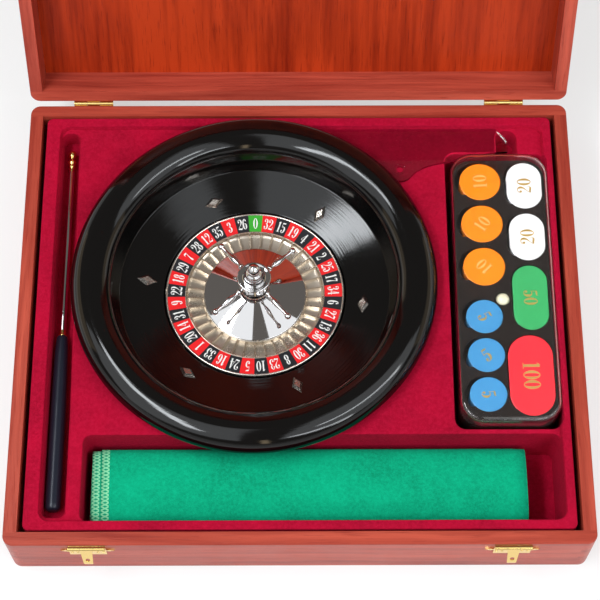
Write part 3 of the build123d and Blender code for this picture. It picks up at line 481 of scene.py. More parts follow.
def lettering(
    text: str, height: float, stretch: float, advance: float = 0.58, depth: float = 0.12
) -> tuple[Points, list[list[int]]]:
    """A number as a thin solid about its own middle, facing +Z.

    Args:
        text: the digits.
        height: height of the digits in millimetres.
        stretch: width of the digits as a share of the pen's own.
        advance: from one digit to the next, in heights before the stretch.
        depth: thickness in millimetres.

    Returns:
        Points in millimetres and faces.
    """
    points, faces, start = [], [], 0
    for index, digit in enumerate(text):
        shift = np.array([(index - (len(text) - 1) / 2) * advance, 0, 0])
        turned = np.array([-1, -1, 1]) if digit == "9" else np.ones(3)
        for solid, solid_faces in GLYPHS[digit].solids(depth / height):
            points.append((solid * turned + shift) * np.array([height * stretch, height, height]))
            faces.extend([corner + start for corner in face] for face in solid_faces)
            start += len(solid)
    return np.vstack(points), faces


# ------------------------------------------------------------------ shader graph
class Graph:
    """Fills a node tree: each call adds a node, sets or links its inputs and returns it."""

    def __init__(self, tree: bpy.types.NodeTree) -> None:
        """Keeps the tree."""
        self.tree = tree

    def add(self, kind: str, inputs: dict | None = None, **settings: object) -> bpy.types.Node:
        """Adds a node.

        Args:
            kind: the node's type without the word ShaderNode.
            inputs: values or sockets by input name or number.
            settings: properties of the node.

        Returns:
            The node.
        """
        node = self.tree.nodes.new(kind if kind.startswith("Node") else "ShaderNode" + kind)
        for key, value in settings.items():
            setattr(node, key, value)
        for key, value in (inputs or {}).items():
            if isinstance(value, bpy.types.NodeSocket):
                self.tree.links.new(value, node.inputs[key])
            else:
                node.inputs[key].default_value = value
        return node

    def join(self, source: bpy.types.NodeSocket, target: bpy.types.NodeSocket) -> None:
        """Links two sockets."""
        self.tree.links.new(source, target)

    def math(self, operation: str, *values: object) -> bpy.types.NodeSocket:
        """A Math node's output."""
        return self.add("Math", dict(enumerate(values)), operation=operation).outputs[0]

    def plus(self, first: object, second: object) -> bpy.types.NodeSocket:
        """A sum."""
        return self.math("ADD", first, second)

    def less(self, first: object, second: object) -> bpy.types.NodeSocket:
        """A difference."""
        return self.math("SUBTRACT", first, second)

    def times(self, first: object, second: object) -> bpy.types.NodeSocket:
        """A product."""
        return self.math("MULTIPLY", first, second)

    def noise(
        self, vector: object, scale: object, detail: float = 4.0, rough: float = 0.55
    ) -> bpy.types.NodeSocket:
        """A Noise Texture's value."""
        inputs = {"Vector": vector, "Scale": scale, "Detail": detail, "Roughness": rough}
        return self.add("TexNoise", inputs).outputs["Fac"]

    def remap(
        self, value: object, low: float, high: float, to_low: float = 0.0, to_high: float = 1.0
    ) -> bpy.types.NodeSocket:
        """A Map Range node's result."""
        ends = {"From Min": low, "From Max": high, "To Min": to_low, "To Max": to_high}
        return self.add("MapRange", {"Value": value, **ends}).outputs["Result"]

    def mix(self, share: object, first: object, second: object) -> bpy.types.NodeSocket:
        """A colour Mix node's result."""
        inputs = {"Factor": share, 6: first, 7: second}
        return self.add("Mix", inputs, data_type="RGBA").outputs[2]

    def mapping(
        self, vector: object, scale: tuple, rotation: tuple = (0, 0, 0), location: tuple = (0, 0, 0)
    ) -> bpy.types.NodeSocket:
        """A Mapping node's vector."""
        inputs = {"Vector": vector, "Scale": scale, "Rotation": rotation, "Location": location}
        return self.add("Mapping", inputs).outputs[0]


def effect(
    name: str, inputs: dict[str, object], outputs: dict[str, str]
) -> tuple[Graph, dict, dict]:
    """Starts a node group that takes a vector and the inputs named.

    Args:
        name: the group's name.
        inputs: the default of each input: four numbers for a colour, one for a value.
        outputs: the kind of each output.

    Returns:
        The graph, its input sockets by name and its output node's inputs by name.
    """
    tree = bpy.data.node_groups.new(name, "ShaderNodeTree")
    tree.interface.new_socket("Vector", in_out="INPUT", socket_type="NodeSocketVector")
    for label, default in inputs.items():
        kind = "NodeSocketColor" if isinstance(default, tuple) else "NodeSocketFloat"
        tree.interface.new_socket(label, in_out="INPUT", socket_type=kind).default_value = default
    for label, kind in outputs.items():
        tree.interface.new_socket(label, in_out="OUTPUT", socket_type="NodeSocket" + kind)
    graph = Graph(tree)
    start = graph.add("NodeGroupInput")
    end = graph.add("NodeGroupOutput")
    given, out = ({s.name: s for s in ends if s.name} for ends in (start.outputs, end.inputs))
    return graph, given, out


class Effects:
    """The shader effects that several finishes share, each a node group built once."""

    def __init__(self) -> None:
        """Builds the groups."""
        self.grain = self.build_grain()
        self.nap = self.build_nap()
        self.handling = self.build_handling()

    def build_grain(self) -> bpy.types.NodeTree:
        """Wood: long streaks, broad figure and fine pores along X of the given vector."""
        graph, given, out = effect(
            "wood grain",
            {"Light": (0.6, 0.2, 0.1, 1), "Dark": (0.3, 0.05, 0.03, 1), "Figure": 0.5},
            {"Color": "Color", "Height": "Float"},
        )
        bend = graph.noise(graph.mapping(given["Vector"], (4, 18, 18)), 1.0, 2.0)
        shift = graph.add("CombineXYZ", {1: graph.times(bend, 0.02)}).outputs[0]
        bent = graph.add("VectorMath", {0: given["Vector"], 1: shift}, operation="ADD").outputs[0]
        streak = graph.noise(graph.mapping(bent, (6, 150, 150)), 1.0, 6.0, 0.62)
        broad = graph.noise(graph.mapping(bent, (2.5, 26, 26)), 1.0, 3.0)
        pore = graph.noise(graph.mapping(bent, (40, 900, 900)), 1.0, 3.0, 0.6)
        figure = graph.times(graph.remap(broad, 0.3, 0.7), given["Figure"])
        share = graph.plus(graph.remap(streak, 0.3, 0.7, 0.0, 0.65), figure)
        colour = graph.mix(graph.remap(share, 0.1, 0.95), given["Dark"], given["Light"])
        pores = graph.remap(pore, 0.56, 0.70)
        graph.join(graph.mix(graph.times(pores, 0.55), colour, given["Dark"]), out["Color"])
        graph.join(graph.less(graph.times(streak, 0.5), pores), out["Height"])
        return graph.tree

    def build_nap(self) -> bpy.types.NodeTree:
        """Flock or felt: fine fibres with brushed patches and a little lint."""
        graph, given, out = effect(
            "fibre nap",
            {
                "Tone": (0.5, 0.0, 0.1, 1),
                "Deep": (0.3, 0.0, 0.05, 1),
                "Lift": (0.7, 0.1, 0.2, 1),
                "Fibre": 1600.0,
            },
            {"Color": "Color", "Height": "Float"},
        )
        vector, lift = given["Vector"], given["Lift"]
        fibre = graph.noise(vector, given["Fibre"], 3.0, 0.5)
        patch = graph.noise(vector, 26.0, 4.0)
        clump = graph.noise(vector, 420.0, 3.0)
        lint = graph.remap(graph.noise(vector, 760.0, 1.0), 0.71, 0.78)
        base = graph.mix(graph.remap(patch, 0.3, 0.7, 0.0, 0.8), given["Deep"], given["Tone"])
        fine = graph.mix(graph.remap(graph.times(fibre, clump), 0.15, 0.42, 0.0, 0.55), base, lift)
        graph.join(graph.mix(graph.times(lint, 0.35), fine, lift), out["Color"])
        graph.join(graph.plus(fibre, graph.times(clump, 0.6)), out["Height"])
        return graph.tree

    def build_handling(self) -> bpy.types.NodeTree:
        """Handling marks: faint smears, hairlines and dust that change roughness and tone."""
        graph, given, out = effect(
            "handling marks",
            {
                "Color": (0.5, 0.5, 0.5, 1),
                "Dust": (0.6, 0.6, 0.6, 1),
                "Roughness": 0.2,
                "Amount": 0.5,
            },
            {"Color": "Color", "Roughness": "Float", "Height": "Float"},
        )
        vector, amount = given["Vector"], given["Amount"]
        stretched = graph.mapping(vector, (260, 2600, 900), (0.3, 0.2, 0.7))
        smear = graph.remap(graph.noise(vector, 34.0, 5.0, 0.6), 0.42, 0.75)
        hair = graph.remap(graph.noise(stretched, 1.0, 2.0), 0.66, 0.76)
        dust = graph.remap(graph.noise(vector, 1900.0, 2.0), 0.70, 0.78)
        wear = graph.plus(graph.times(smear, 0.10), graph.times(hair, 0.08))
        share = graph.times(graph.times(dust, amount), 0.25)
        graph.join(graph.mix(share, given["Color"], given["Dust"]), out["Color"])
        graph.join(graph.plus(given["Roughness"], graph.times(amount, wear)), out["Roughness"])
        graph.join(graph.less(smear, graph.times(hair, 0.5)), out["Height"])
        return graph.tree


EFFECTS = Effects()


def tone(red: int, green: int, blue: int) -> tuple[float, float, float, float]:
    """A display colour of 0 to 255 as linear light."""
    def line(value: int) -> float:
        """One channel."""
        share = value / 255
        return share / 12.92 if share <= 0.04045 else ((share + 0.055) / 1.055) ** 2.4
    return (line(red), line(green), line(blue), 1.0)


def start_material(
    name: str,
) -> tuple[bpy.types.Material, Graph, bpy.types.Node, bpy.types.NodeSocket]:
    """Starts a material.

    Args:
        name: the material's name.

    Returns:
        The material, its graph, its Principled BSDF and the Object coordinates.
    """
    material = bpy.data.materials.new(name)
    material.use_nodes = True
    graph = Graph(material.node_tree)
    shader = material.node_tree.nodes["Principled BSDF"]
    return material, graph, shader, graph.add("TexCoord").outputs["Object"]


def settle(shader: bpy.types.Node, **levels: object) -> None:
    """Sets constants on the shader's own sockets.

    Args:
        shader: the Principled BSDF.
        levels: a value for each socket, named with underlines in place of its blanks.
    """
    for name, level in levels.items():
        shader.inputs[name.replace("_", " ")].default_value = level


def handled(
    graph: Graph,
    shader: bpy.types.Node,
    place: object,
    colour: object,
    dust: tuple,
    rough: float,
    amount: float,
) -> bpy.types.NodeSocket:
    """Feeds a colour and a roughness that bear marks of handling to the shader.

    Args:
        graph: the material's graph.
        shader: the Principled BSDF.
        place: the vector of the marks.
        colour: the clean colour.
        dust: the colour of dust.
        rough: the clean roughness.
        amount: how many marks there are.

    Returns:
        The height of the marks.
    """
    inputs = {"Vector": place, "Color": colour, "Dust": dust, "Roughness": rough, "Amount": amount}
    marks = graph.add("Group", inputs, node_tree=EFFECTS.handling)
    graph.join(marks.outputs["Color"], shader.inputs["Base Color"])
    graph.join(marks.outputs["Roughness"], shader.inputs["Roughness"])
    return marks.outputs["Height"]


def raise_bump(
    graph: Graph, shader: bpy.types.Node, height: object, strength: float, depth: float
) -> None:
    """Feeds a height to the shader's normal.

    Args:
        graph: the material's graph.
        shader: the Principled BSDF.
        height: the height's socket.
        strength: the bump's strength.
        depth: the relief in metres.
    """
    bump = graph.add("Bump", {"Height": height, "Strength": strength, "Distance": depth})
    graph.join(bump.outputs[0], shader.inputs["Normal"])


def blend_last(graph: Graph, share: object, first: bpy.types.Node, second: bpy.types.Node) -> None:
    """Mixes two shaders into the material's output.

    Args:
        graph: the material's graph.
        share: the second shader's share.
        first: the first shader.
        second: the second shader.
    """
    blend = graph.add("MixShader", {0: share, 1: first.outputs[0], 2: second.outputs[0]})
    graph.join(blend.outputs[0], graph.tree.nodes["Material Output"].inputs[0])


class GrainRun(Enum):
    """How a wooden piece's grain runs."""

    ACROSS = (0.0, 0.0, 0.0)
    BACK = (0.0, 0.0, math.pi / 2)
    LID_UP = (0.0, -math.pi / 2, 0.0)


@dataclass(frozen=True)
class Wood:
    """Stained and lacquered wood whose grain runs one way."""

    name: str
    run: GrainRun
    light: tuple
    dark: tuple
    figure: float = 0.5
    gloss: float = 0.30
    shift: float = 0.0
    tilt: float = 0.0
    shine: float = 0.16
    coat: float = 0.03

    def build(self) -> bpy.types.Material:
        """Makes the material.

        Returns:
            The material.
        """
        material, graph, shader, place = start_material(self.name)
        if self.tilt:
            place = graph.mapping(place, (1, 1, 1), (self.tilt, 0, 0))
        turned = graph.mapping(place, (1, 1, 1), self.run.value, (self.shift, self.shift * 2, 0))
        inputs = {"Vector": turned, "Light": self.light, "Dark": self.dark, "Figure": self.figure}
        grain = graph.add("Group", inputs, node_tree=EFFECTS.grain)
        handled(graph, shader, place, grain.outputs["Color"], tone(220, 170, 150), self.gloss, 0.8)
        settle(shader, Specular_IOR_Level=self.shine, Coat_Weight=self.coat, Coat_Roughness=0.22)
        raise_bump(graph, shader, grain.outputs["Height"], 0.35, 0.0003)
        return material


@dataclass(frozen=True)
class Nap:
    """Flock or felt."""

    name: str
    tone: tuple
    deep: tuple
    lift: tuple
    fibre: float = 1600.0
    sheen: float = 0.35

    def build(self) -> bpy.types.Material:
        """Makes the material.

        Returns:
            The material.
        """
        material, graph, shader, place = start_material(self.name)
        tones = {"Tone": self.tone, "Deep": self.deep, "Lift": self.lift}
        inputs = {"Vector": place, "Fibre": self.fibre, **tones}
        nap = graph.add("Group", inputs, node_tree=EFFECTS.nap)
        graph.join(nap.outputs["Color"], shader.inputs["Base Color"])
        settle(shader, Roughness=0.95, Specular_IOR_Level=0.15)
        settle(shader, Sheen_Weight=self.sheen, Sheen_Roughness=0.45, Sheen_Tint=self.lift)
        raise_bump(graph, shader, nap.outputs["Height"], 0.5, 0.0005)
        return material


@dataclass(frozen=True)
class Polished:
    """Metal or glossy plastic with faint marks of handling."""

    name: str
    tone: tuple
    metal: float = 0.0
    roughness: float = 0.1
    marks: float = 0.5
    dust: tuple = (0.6, 0.6, 0.6, 1.0)
    relief: float = 0.0

    def build(self) -> bpy.types.Material:
        """Makes the material.

        Returns:
            The material.
        """
        material, graph, shader, place = start_material(self.name)
        worn = handled(graph, shader, place, self.tone, self.dust, self.roughness, self.marks)
        settle(shader, Metallic=self.metal)
        if self.relief:
            raise_bump(graph, shader, graph.noise(place, 700.0, 2.0), self.relief, 0.0004)
        else:
            raise_bump(graph, shader, worn, 0.03, 0.0001)
        return material


@dataclass(frozen=True)
class Turned:
    """Black lacquer on turned work, whose fine rings round the axis draw the highlights out."""

    name: str
    tone: tuple
    middle: tuple
    roughness: float = 0.07

    def build(self) -> bpy.types.Material:
        """Makes the material.

        Returns:
            The material.
        """
        material, graph, shader, place = start_material(self.name)
        handled(graph, shader, place, self.tone, (0.03, 0.03, 0.03, 1.0), self.roughness, 0.3)
        shift = tuple(-value for value in self.middle) + (0,)
        centred = graph.mapping(place, (1, 1, 0), (0, 0, 0), shift)
        radius = graph.add("VectorMath", {0: centred}, operation="LENGTH").outputs["Value"]
        rings = graph.add("CombineXYZ", {0: graph.times(radius, 60.0)}).outputs[0]
        raise_bump(graph, shader, graph.noise(rings, 12.0, 3.0), 0.12, 0.0006)
        return material


@dataclass(frozen=True)
class Clear:
    """Clear acrylic that lets light through to what lies under it."""

    name: str
    tint: tuple = (1.0, 1.0, 1.0, 1.0)
    shade: tuple = (0.97, 0.97, 0.98, 1.0)

    def build(self) -> bpy.types.Material:
        """Makes the material.

        Returns:
            The material.
        """
        material, graph, shader, place = start_material(self.name)
        handled(graph, shader, place, self.tint, (1.0, 1.0, 1.0, 1.0), 0.02, 0.25)
        settle(shader, Transmission_Weight=1.0, IOR=1.49)
        clear = graph.add("BsdfTransparent", {"Color": self.shade})
        shadow = graph.add("LightPath").outputs["Is Shadow Ray"]
        blend_last(graph, shadow, shader, clear)
        return material


@dataclass(frozen=True)
class HemmedFelt:
    """Felt with an overlocked edge, laid out on the cloth's own UV map in metres from the edge."""

    name: str
    felt: Nap
    thread: tuple
    hem: float = 0.0062
    stitch: float = 0.0030
    lean: float = 0.45

    def build(self) -> bpy.types.Material:
        """Makes the material.

        Returns:
            The material.
        """
        material = self.felt.build()
        material.name = self.name
        graph = Graph(material.node_tree)
        shader = material.node_tree.nodes["Principled BSDF"]
        parts = graph.add("SeparateXYZ", {0: graph.add("UVMap", uv_map="cut").outputs[0]})
        across, along = parts.outputs[0], parts.outputs[1]
        lean = graph.times(across, self.lean)
        slants = (graph.plus(lean, along), graph.less(along, lean))
        turn = 2 * math.pi / self.stitch
        waves = [graph.math("SINE", graph.times(slant, turn)) for slant in slants]
        lay = graph.remap(graph.math("MAXIMUM", *waves), -0.1, 0.65)
        mask = graph.times(graph.math("LESS_THAN", across, self.hem), lay)
        felt_colour = shader.inputs["Base Color"].links[0].from_socket
        colour = graph.mix(graph.times(mask, 0.85), felt_colour, self.thread)
        graph.join(colour, shader.inputs["Base Color"])
        bump = shader.inputs["Normal"].links[0].from_node
        felt_height = bump.inputs["Height"].links[0].from_socket
        raised = graph.plus(graph.times(felt_height, 0.5), graph.times(mask, 1.4))
        graph.join(raised, bump.inputs["Height"])
        return material


WHEEL_X, WHEEL_Y = -36.5, 28.7
LID_LEAN = math.radians(22)
MAHOGANY = (tone(200, 88, 68), tone(138, 44, 34))
FINISHES = {
    "wood across": Wood("mahogany stain, grain across", GrainRun.ACROSS, *MAHOGANY),
    "wood back": Wood("mahogany stain, grain front to back", GrainRun.BACK, *MAHOGANY, shift=0.31),
    "lid wood across": Wood(
        "lid mahogany, grain across", GrainRun.ACROSS, *MAHOGANY, shift=0.73, tilt=LID_LEAN
    ),
    "lid wood back": Wood(
        "lid mahogany, grain up the lid", GrainRun.LID_UP, *MAHOGANY, shift=0.17, tilt=LID_LEAN
    ),
    "panel": Wood(
        "orange plywood",
        GrainRun.LID_UP,
        tone(184, 58, 22),
        tone(112, 20, 5),
        figure=0.9,
        gloss=0.36,
        tilt=LID_LEAN,
    ),
    "bottom": Wood(
        "bottom plywood", GrainRun.ACROSS, tone(190, 90, 60), tone(140, 50, 30), 0.7, 0.45, 0.5
    ),
    "flock": Nap(
        "crimson flock", tone(184, 2, 46), tone(144, 0, 34), tone(204, 22, 64), 1900.0, 0.12
    ),
    "black gloss": Turned("black gloss", (0.0022, 0.0020, 0.0020, 1), (WHEEL_X * MM, WHEEL_Y * MM)),
    "chrome": Polished("polished chrome", tone(210, 208, 208), 1.0, 0.03, 0.25),
    "diamond": Polished("hammered metal", tone(214, 205, 196), 1.0, 0.24, 0.6, relief=0.7),
    "pocket metal": Polished("champagne metal", tone(214, 202, 186), 0.92, 0.26, 0.6),
    "silver": Polished("satin silver", tone(222, 212, 202), 0.9, 0.22, 0.5),
    "brass": Polished("polished brass", tone(236, 205, 130), 1.0, 0.16, 0.7),
    "steel": Polished("plated steel", tone(190, 188, 184), 1.0, 0.22, 0.7),
    "grip": Polished("satin blue-black", tone(26, 30, 44), 0.2, 0.3, 0.5),
    "acrylic": Clear("clear acrylic"),
    "tray black": Polished("brown-black moulding", tone(30, 24, 22), 0.0, 0.16, 0.8),
    "red print": Polished("red print", tone(236, 34, 38), 0.0, 0.3, 0.3),
    "black print": Polished("black print", tone(34, 36, 40), 0.0, 0.3, 0.3),
    "green print": Polished("green print", tone(60, 170, 50), 0.0, 0.3, 0.3),
    "white print": Polished("white print", tone(240, 240, 236), 0.0, 0.4, 0.2),
    "gold print": Polished("gold print", tone(212, 176, 96), 0.55, 0.35, 0.3),
    "orange print": Polished("pale orange print", tone(255, 176, 96), 0.1, 0.35, 0.3),
    "orange": Polished("orange chip", tone(255, 136, 14), 0.0, 0.28, 0.5),
    "blue": Polished("blue chip", tone(66, 144, 196), 0.0, 0.28, 0.5),
    "white": Polished("white chip", tone(244, 242, 240), 0.0, 0.28, 0.4),
    "green": Polished("green chip", tone(56, 168, 96), 0.0, 0.28, 0.5),
    "red": Polished("red chip", tone(248, 44, 56), 0.0, 0.28, 0.5),
    "ivory": Polished("ivory ball", tone(236, 230, 196), 0.0, 0.22, 0.3),
}
CLOTH_FELT = Nap(
    "green felt", tone(0, 170, 124), tone(0, 136, 98), tone(14, 200, 150), 1500.0, 0.12
)
HEM = HemmedFelt("hemmed felt", CLOTH_FELT, tone(150, 232, 178))


class Workshop:
    """Keeps the built materials and hands pieces to their bodies."""

    def __init__(self) -> None:
        """Builds every material."""
        self.materials = {key: finish.build() for key, finish in FINISHES.items()}
        self.materials["hemmed felt"] = HEM.build()

    def dress(self, node: str, finish: str) -> None:
        """Gives a CAD node its material."""
        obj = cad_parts[node]
        obj.data.materials.clear()
        obj.data.materials.append(self.materials[finish])
        log.info("dressed %s with %s", node, finish)

    def keep(
        self,
        obj: bpy.types.Object,
        body: str,
        finishes: Sequence[str],
        slot: str,
        replaces: Sequence[str] = (),
    ) -> None:
        """Finishes a new piece.

        Args:
            obj: the piece.
            body: the body that it rides on.
            finishes: its materials in slot order.
            slot: not used.
            replaces: the CAD nodes that it stands for.
        """
        for finish in finishes:
            obj.data.materials.append(self.materials[finish])
        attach(obj, body)
        if replaces:
            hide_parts(*replaces)
        log.info("made %s on %s", obj.name, body)


# ------------------------------------------------------------------ case
@dataclass
class WoodenCase:
    """The finger-jointed base and lid, the tray, the hinges and the latches."""

    shop: Workshop
    latch_offset: float = 162.7
    latch_plate_width: float = 28.5
    latch_plate_height: float = 19.0
    latch_axis_height: float = 56.2
    front_face: float = -193.0
    nail_radius: float = 1.15
    nail_rise: float = 0.45
    nail_sink: float = 0.05
    nail_drop: float = 0.72
    nail_places: tuple = (-0.42, -0.27, 0.27, 0.42)

    def dress(self) -> None:
        """Gives the carried-over nodes their finishes."""
        finishes = {
            "wood across": ("base_front_wall", "base_rear_wall"),
            "wood back": ("base_left_wall", "base_right_wall"),
            "bottom": ("base_bottom_panel",),
            "lid wood across": ("lid_front_rail", "lid_rear_rail"),
            "lid wood back": ("lid_left_rail", "lid_right_rail"),
            "panel": ("lid_panel",),
            "flock": (
                "tray_deck", "tray_flange", "tray_wheel_well", "tray_rake_slot", "tray_chip_bay",
                "tray_cloth_trough",
            ),
            "brass": (
                "hinge_base_leaves", "hinge_lid_leaves", "latch_left_plate", "latch_right_plate",
                "latch_left_hasp", "latch_right_hasp", "lid_catches",
            ),
            "steel": ("hinge_pins", "latch_pins"),
        }
        for finish, nodes in finishes.items():
            for node in nodes:
                self.shop.dress(node, finish)

    def nails(self) -> None:
        """Round-headed nails in the latch plates: domes r = R cos(a), z = rise R sin(a)."""
        turn, radius = np.linspace(0, np.pi / 2, 5), self.nail_radius
        dome = np.column_stack([radius * np.cos(turn), self.nail_rise * radius * np.sin(turn)])
        foot = [[0, -self.nail_sink], [radius, -self.nail_sink]]
        points, faces = revolved(np.vstack([*foot, dome]), 16)
        z = self.latch_axis_height - self.nail_drop * self.latch_plate_height
        parts = []
        for side in (-1, 1):
            for across in self.nail_places:
                x = side * self.latch_offset + across * self.latch_plate_width
                place = pose(x, self.front_face - 1.0, z, (math.pi / 2, "X"))
                parts.append((placed(points, place), faces))
        self.shop.keep(gathered("latch_nails", parts), "case", ["brass"], "brass")


# ------------------------------------------------------------------ wheel
@dataclass
class Wheel:
    """The turned black bowl with its six deflectors."""

    shop: Workshop
    rim_radius: float = 149.0
    rim_low: float = 56.2
    rim_height: float = 17.0
    rim_inner_radius: float = 115.5
    rim_inner_drop: float = 11.5
    shell: float = 3.2
    apron_radius: float = 111.0
    apron_top: float = 40.7
    apron_inner_radius: float = 75.0
    apron_low: float = 32.5
    pan_floor: float = 20.5
    foot_outer: float = 109.0
    foot_inner: float = 104.0
    foot_z: float = 5.5
    foot_rise: float = 4.0
    brim_share: float = 0.22
    brim_inset: float = 1.0

    def arc(self, crown: float, top: float, end: tuple[float, float]) -> Points:
        """A circle's arc that leaves its highest point level and passes an end point.

        The radius is (across squared + drop squared) / (2 drop).

        Args:
            crown: radius of the highest point.
            top: height of the highest point.
            end: the end point.

        Returns:
            Points from the top to the end.
        """
        across, drop = end[0] - crown, top - end[1]
        bend = (across**2 + drop**2) / (2 * drop)
        turn = np.linspace(0, math.atan2(abs(across), bend - drop), 22)
        reach = math.copysign(bend, across) * np.sin(turn)
        return np.column_stack([crown + reach, top - bend + bend * np.cos(turn)])

    def build(self) -> None:
        """Makes the bowl as a surface of revolution and dresses the small pieces."""
        shell = self.shell
        top = self.rim_low + self.rim_height
        crown = (self.rim_radius + self.rim_inner_radius) / 2
        edge = (self.rim_inner_radius, top - self.rim_inner_drop)
        brim = (self.rim_radius, self.rim_low + self.rim_height * self.brim_share)
        under_top, under_edge = top - shell, (edge[0] + shell, edge[1] - shell)
        under_brim = (self.rim_radius - shell, self.rim_low)
        low_edge = [(self.rim_radius - self.brim_inset, self.rim_low)]
        outer = [self.arc(crown, top, edge)[::-1], self.arc(crown, top, brim)[1:], low_edge]
        under = [
            self.arc(crown, under_top, under_brim)[::-1], self.arc(crown, under_top, under_edge)[1:]
        ]
        pan, pan_low = self.apron_inner_radius, self.apron_low - shell
        inside = softened(
            [
                (0, self.pan_floor), (pan, self.pan_floor), (pan, self.apron_low),
                (self.apron_radius, self.apron_top), edge,
            ],
            0.7,
        )
        below = softened(
            [
                under_edge, (self.apron_radius + shell, self.apron_top - shell),
                (self.foot_outer, self.foot_z), (self.foot_inner, self.foot_z),
                (self.foot_inner, pan_low + self.foot_rise), (pan + shell, pan_low),
                (pan + shell, self.pan_floor - shell), (0, self.pan_floor - shell),
            ],
            0.5,
        )
        profile = np.vstack([inside[:-1], *outer, *under, below[1:]])
        bowl = lathe("bowl", profile, WHEEL_X, WHEEL_Y, around=288)
        self.shop.keep(bowl, "wheel", ["black gloss"], "black_gloss", ["wheel_bowl"])
        self.shop.dress("wheel_deflectors", "diamond")
        self.shop.dress("wheel_spindle", "steel")


# ------------------------------------------------------------------ rotor
@dataclass
class Rotor:
    """The turning part: numbers, trim, pockets, cone, turret and handles."""

    shop: Workshop
    radius: float = 73.5
    trim_width: float = 1.6
    number_inner: float = 57.6
    pocket_inner: float = 41.6
    ring_outer_z: float = 32.8
    ring_inner_z: float = 31.6
    disc_edge_z: float = 31.6
    pocket_floor: float = 24.8
    cone_edge_z: float = 31.1
    cone_top_z: float = 40.1
    base_radius: float = 12.4
    waist: float = 9.6
    disc: float = 13.8
    handle_reach: float = 41.4
    handle_height: float = 19.4
    handle_droop: float = 4.0
    handle_turn: float = 41.1
    handle_ball: float = 2.8
    ring_drop: float = 1.2
    steps: int = 8
    numeral_height: float = 9.3
    numeral_stretch: float = 0.72
    print_rise: float = 0.06
    order: tuple = (
        0, 32, 15, 19, 4, 21, 2, 25, 17, 34, 6, 27, 13, 36, 11, 30, 8, 23, 10,
        5, 24, 16, 33, 1, 20, 14, 31, 9, 22, 18, 29, 7, 28, 12, 35, 3, 26,
    )

    def build(self) -> None:
        """Builds every piece of the rotor."""
        self.shop.dress("rotor_disc", "black gloss")
        self.sectors()
        self.numerals()
        self.trim()
        self.pockets()
        self.cone()
        self.turret()
        self.handles()

    def sectors(self) -> None:
        """The number ring: an annulus whose faces take red, black or green by their sector."""
        fine, bottom = self.steps, self.ring_inner_z - self.ring_drop
        around = len(self.order) * fine
        outer = self.radius - self.trim_width
        corners = [
            (self.number_inner, bottom), (outer, self.disc_edge_z), (outer, self.ring_outer_z),
            (self.number_inner, self.ring_inner_z),
        ]
        profile = np.array(corners)
        angle = np.pi / 2 - (np.arange(around) / fine - 0.5) * 2 * np.pi / len(self.order)
        r, z = profile[:, 0][:, None], profile[:, 1][:, None]
        height = np.broadcast_to(z, (4, around))
        rings = np.stack([WHEEL_X + r * np.cos(angle), WHEEL_Y + r * np.sin(angle), height], -1)
        sector = (np.arange(around) // fine)[None, :].repeat(4, 0).ravel()
        slots = np.where(sector == 0, 2, np.where(sector % 2 == 1, 0, 1))
        faces = quads(4, around, True, True).tolist()
        ring = mesh_object("number_sectors", rings.reshape(-1, 3), faces, slots)
        prints = ["red print", "black print", "green print"]
        self.shop.keep(ring, "rotor", prints, "number_print", ["number_ring"])

    def numerals(self) -> None:
        """White numbers that stand outwards, each turned to its sector."""
        outer = self.radius - self.trim_width
        middle = (self.number_inner + self.radius - self.trim_width) / 2
        height = (self.ring_inner_z + self.ring_outer_z) / 2 + self.print_rise
        slope = math.atan2(self.ring_outer_z - self.ring_inner_z, outer - self.number_inner)
        parts = []
        for index, number in enumerate(self.order):
            points, faces = lettering(str(number), self.numeral_height, self.numeral_stretch)
            turn = -index * 2 * math.pi / len(self.order)
            place = pose(WHEEL_X, WHEEL_Y, 0, (turn, "Z")) @ pose(0, middle, height, (slope, "X"))
            parts.append((placed(points, place), faces))
        self.shop.keep(gathered("numerals", parts), "rotor", ["white print"], "number_print")

    def trim(self) -> None:
        """The metal band round the numbers."""
        inner, outer = self.radius - self.trim_width, self.radius
        low, shoulder = self.disc_edge_z - 1.0, self.ring_outer_z + 0.5
        band = [
            (inner, low), (outer, low), (outer, shoulder), ((inner + outer) / 2, shoulder + 0.5),
            (inner, shoulder), (inner, low),
        ]
        ring = lathe("trim_ring", softened(band, 0.3), WHEEL_X, WHEEL_Y, around=222)
        self.shop.keep(ring, "rotor", ["silver"], "chrome", ["rotor_trim_ring"])

    def pockets(self) -> None:
        """The pocket ring: a turned trough and thin walls with rounded tops between neighbours."""
        inner, outer = self.pocket_inner, self.number_inner
        floor, top = self.pocket_floor, self.ring_inner_z
        rim = self.cone_edge_z
        trough = [
            (inner, floor - 1.0), (outer, floor - 1.0), (outer, top + 0.15),
            (outer - 1.0, top + 0.15), (outer - 1.2, floor + 3.2), (outer - 3.2, floor + 2.0),
            (inner + 1.6, floor + 0.5), (inner + 0.9, rim - 0.9), (inner, rim - 0.7),
            (inner, floor - 1.0),
        ]
        parts = [revolved(softened(trough, 0.6), 222)]
        side = [
            (inner + 0.3, floor), (outer - 0.7, floor), (outer - 0.7, top),
            (outer - 3.0, top - 0.5), (inner + 0.3, rim - 1.6),
        ]
        falls = {-0.55: 0.8, -0.45: 0.3, -0.2: 0.0, 0.2: 0.0, 0.45: 0.3, 0.55: 0.8}
        rows = [
            [(r, across, z - (fall if corner > 1 else 0)) for corner, (r, z) in enumerate(side)]
            for across, fall in falls.items()
        ]
        wall, wall_faces = capped(np.array(rows))
        for index in range(len(self.order)):
            turn = (index + 0.5) * 2 * math.pi / len(self.order) + math.pi / 2
            parts.append((placed(wall, pose(0, 0, 0, (turn, "Z"))), wall_faces))
        shift = np.array([WHEEL_X, WHEEL_Y, 0])
        ring = gathered("pockets", [(points + shift, faces) for points, faces in parts])
        self.shop.keep(ring, "rotor", ["pocket metal"], "pocket_metal", ["pocket_ring"])

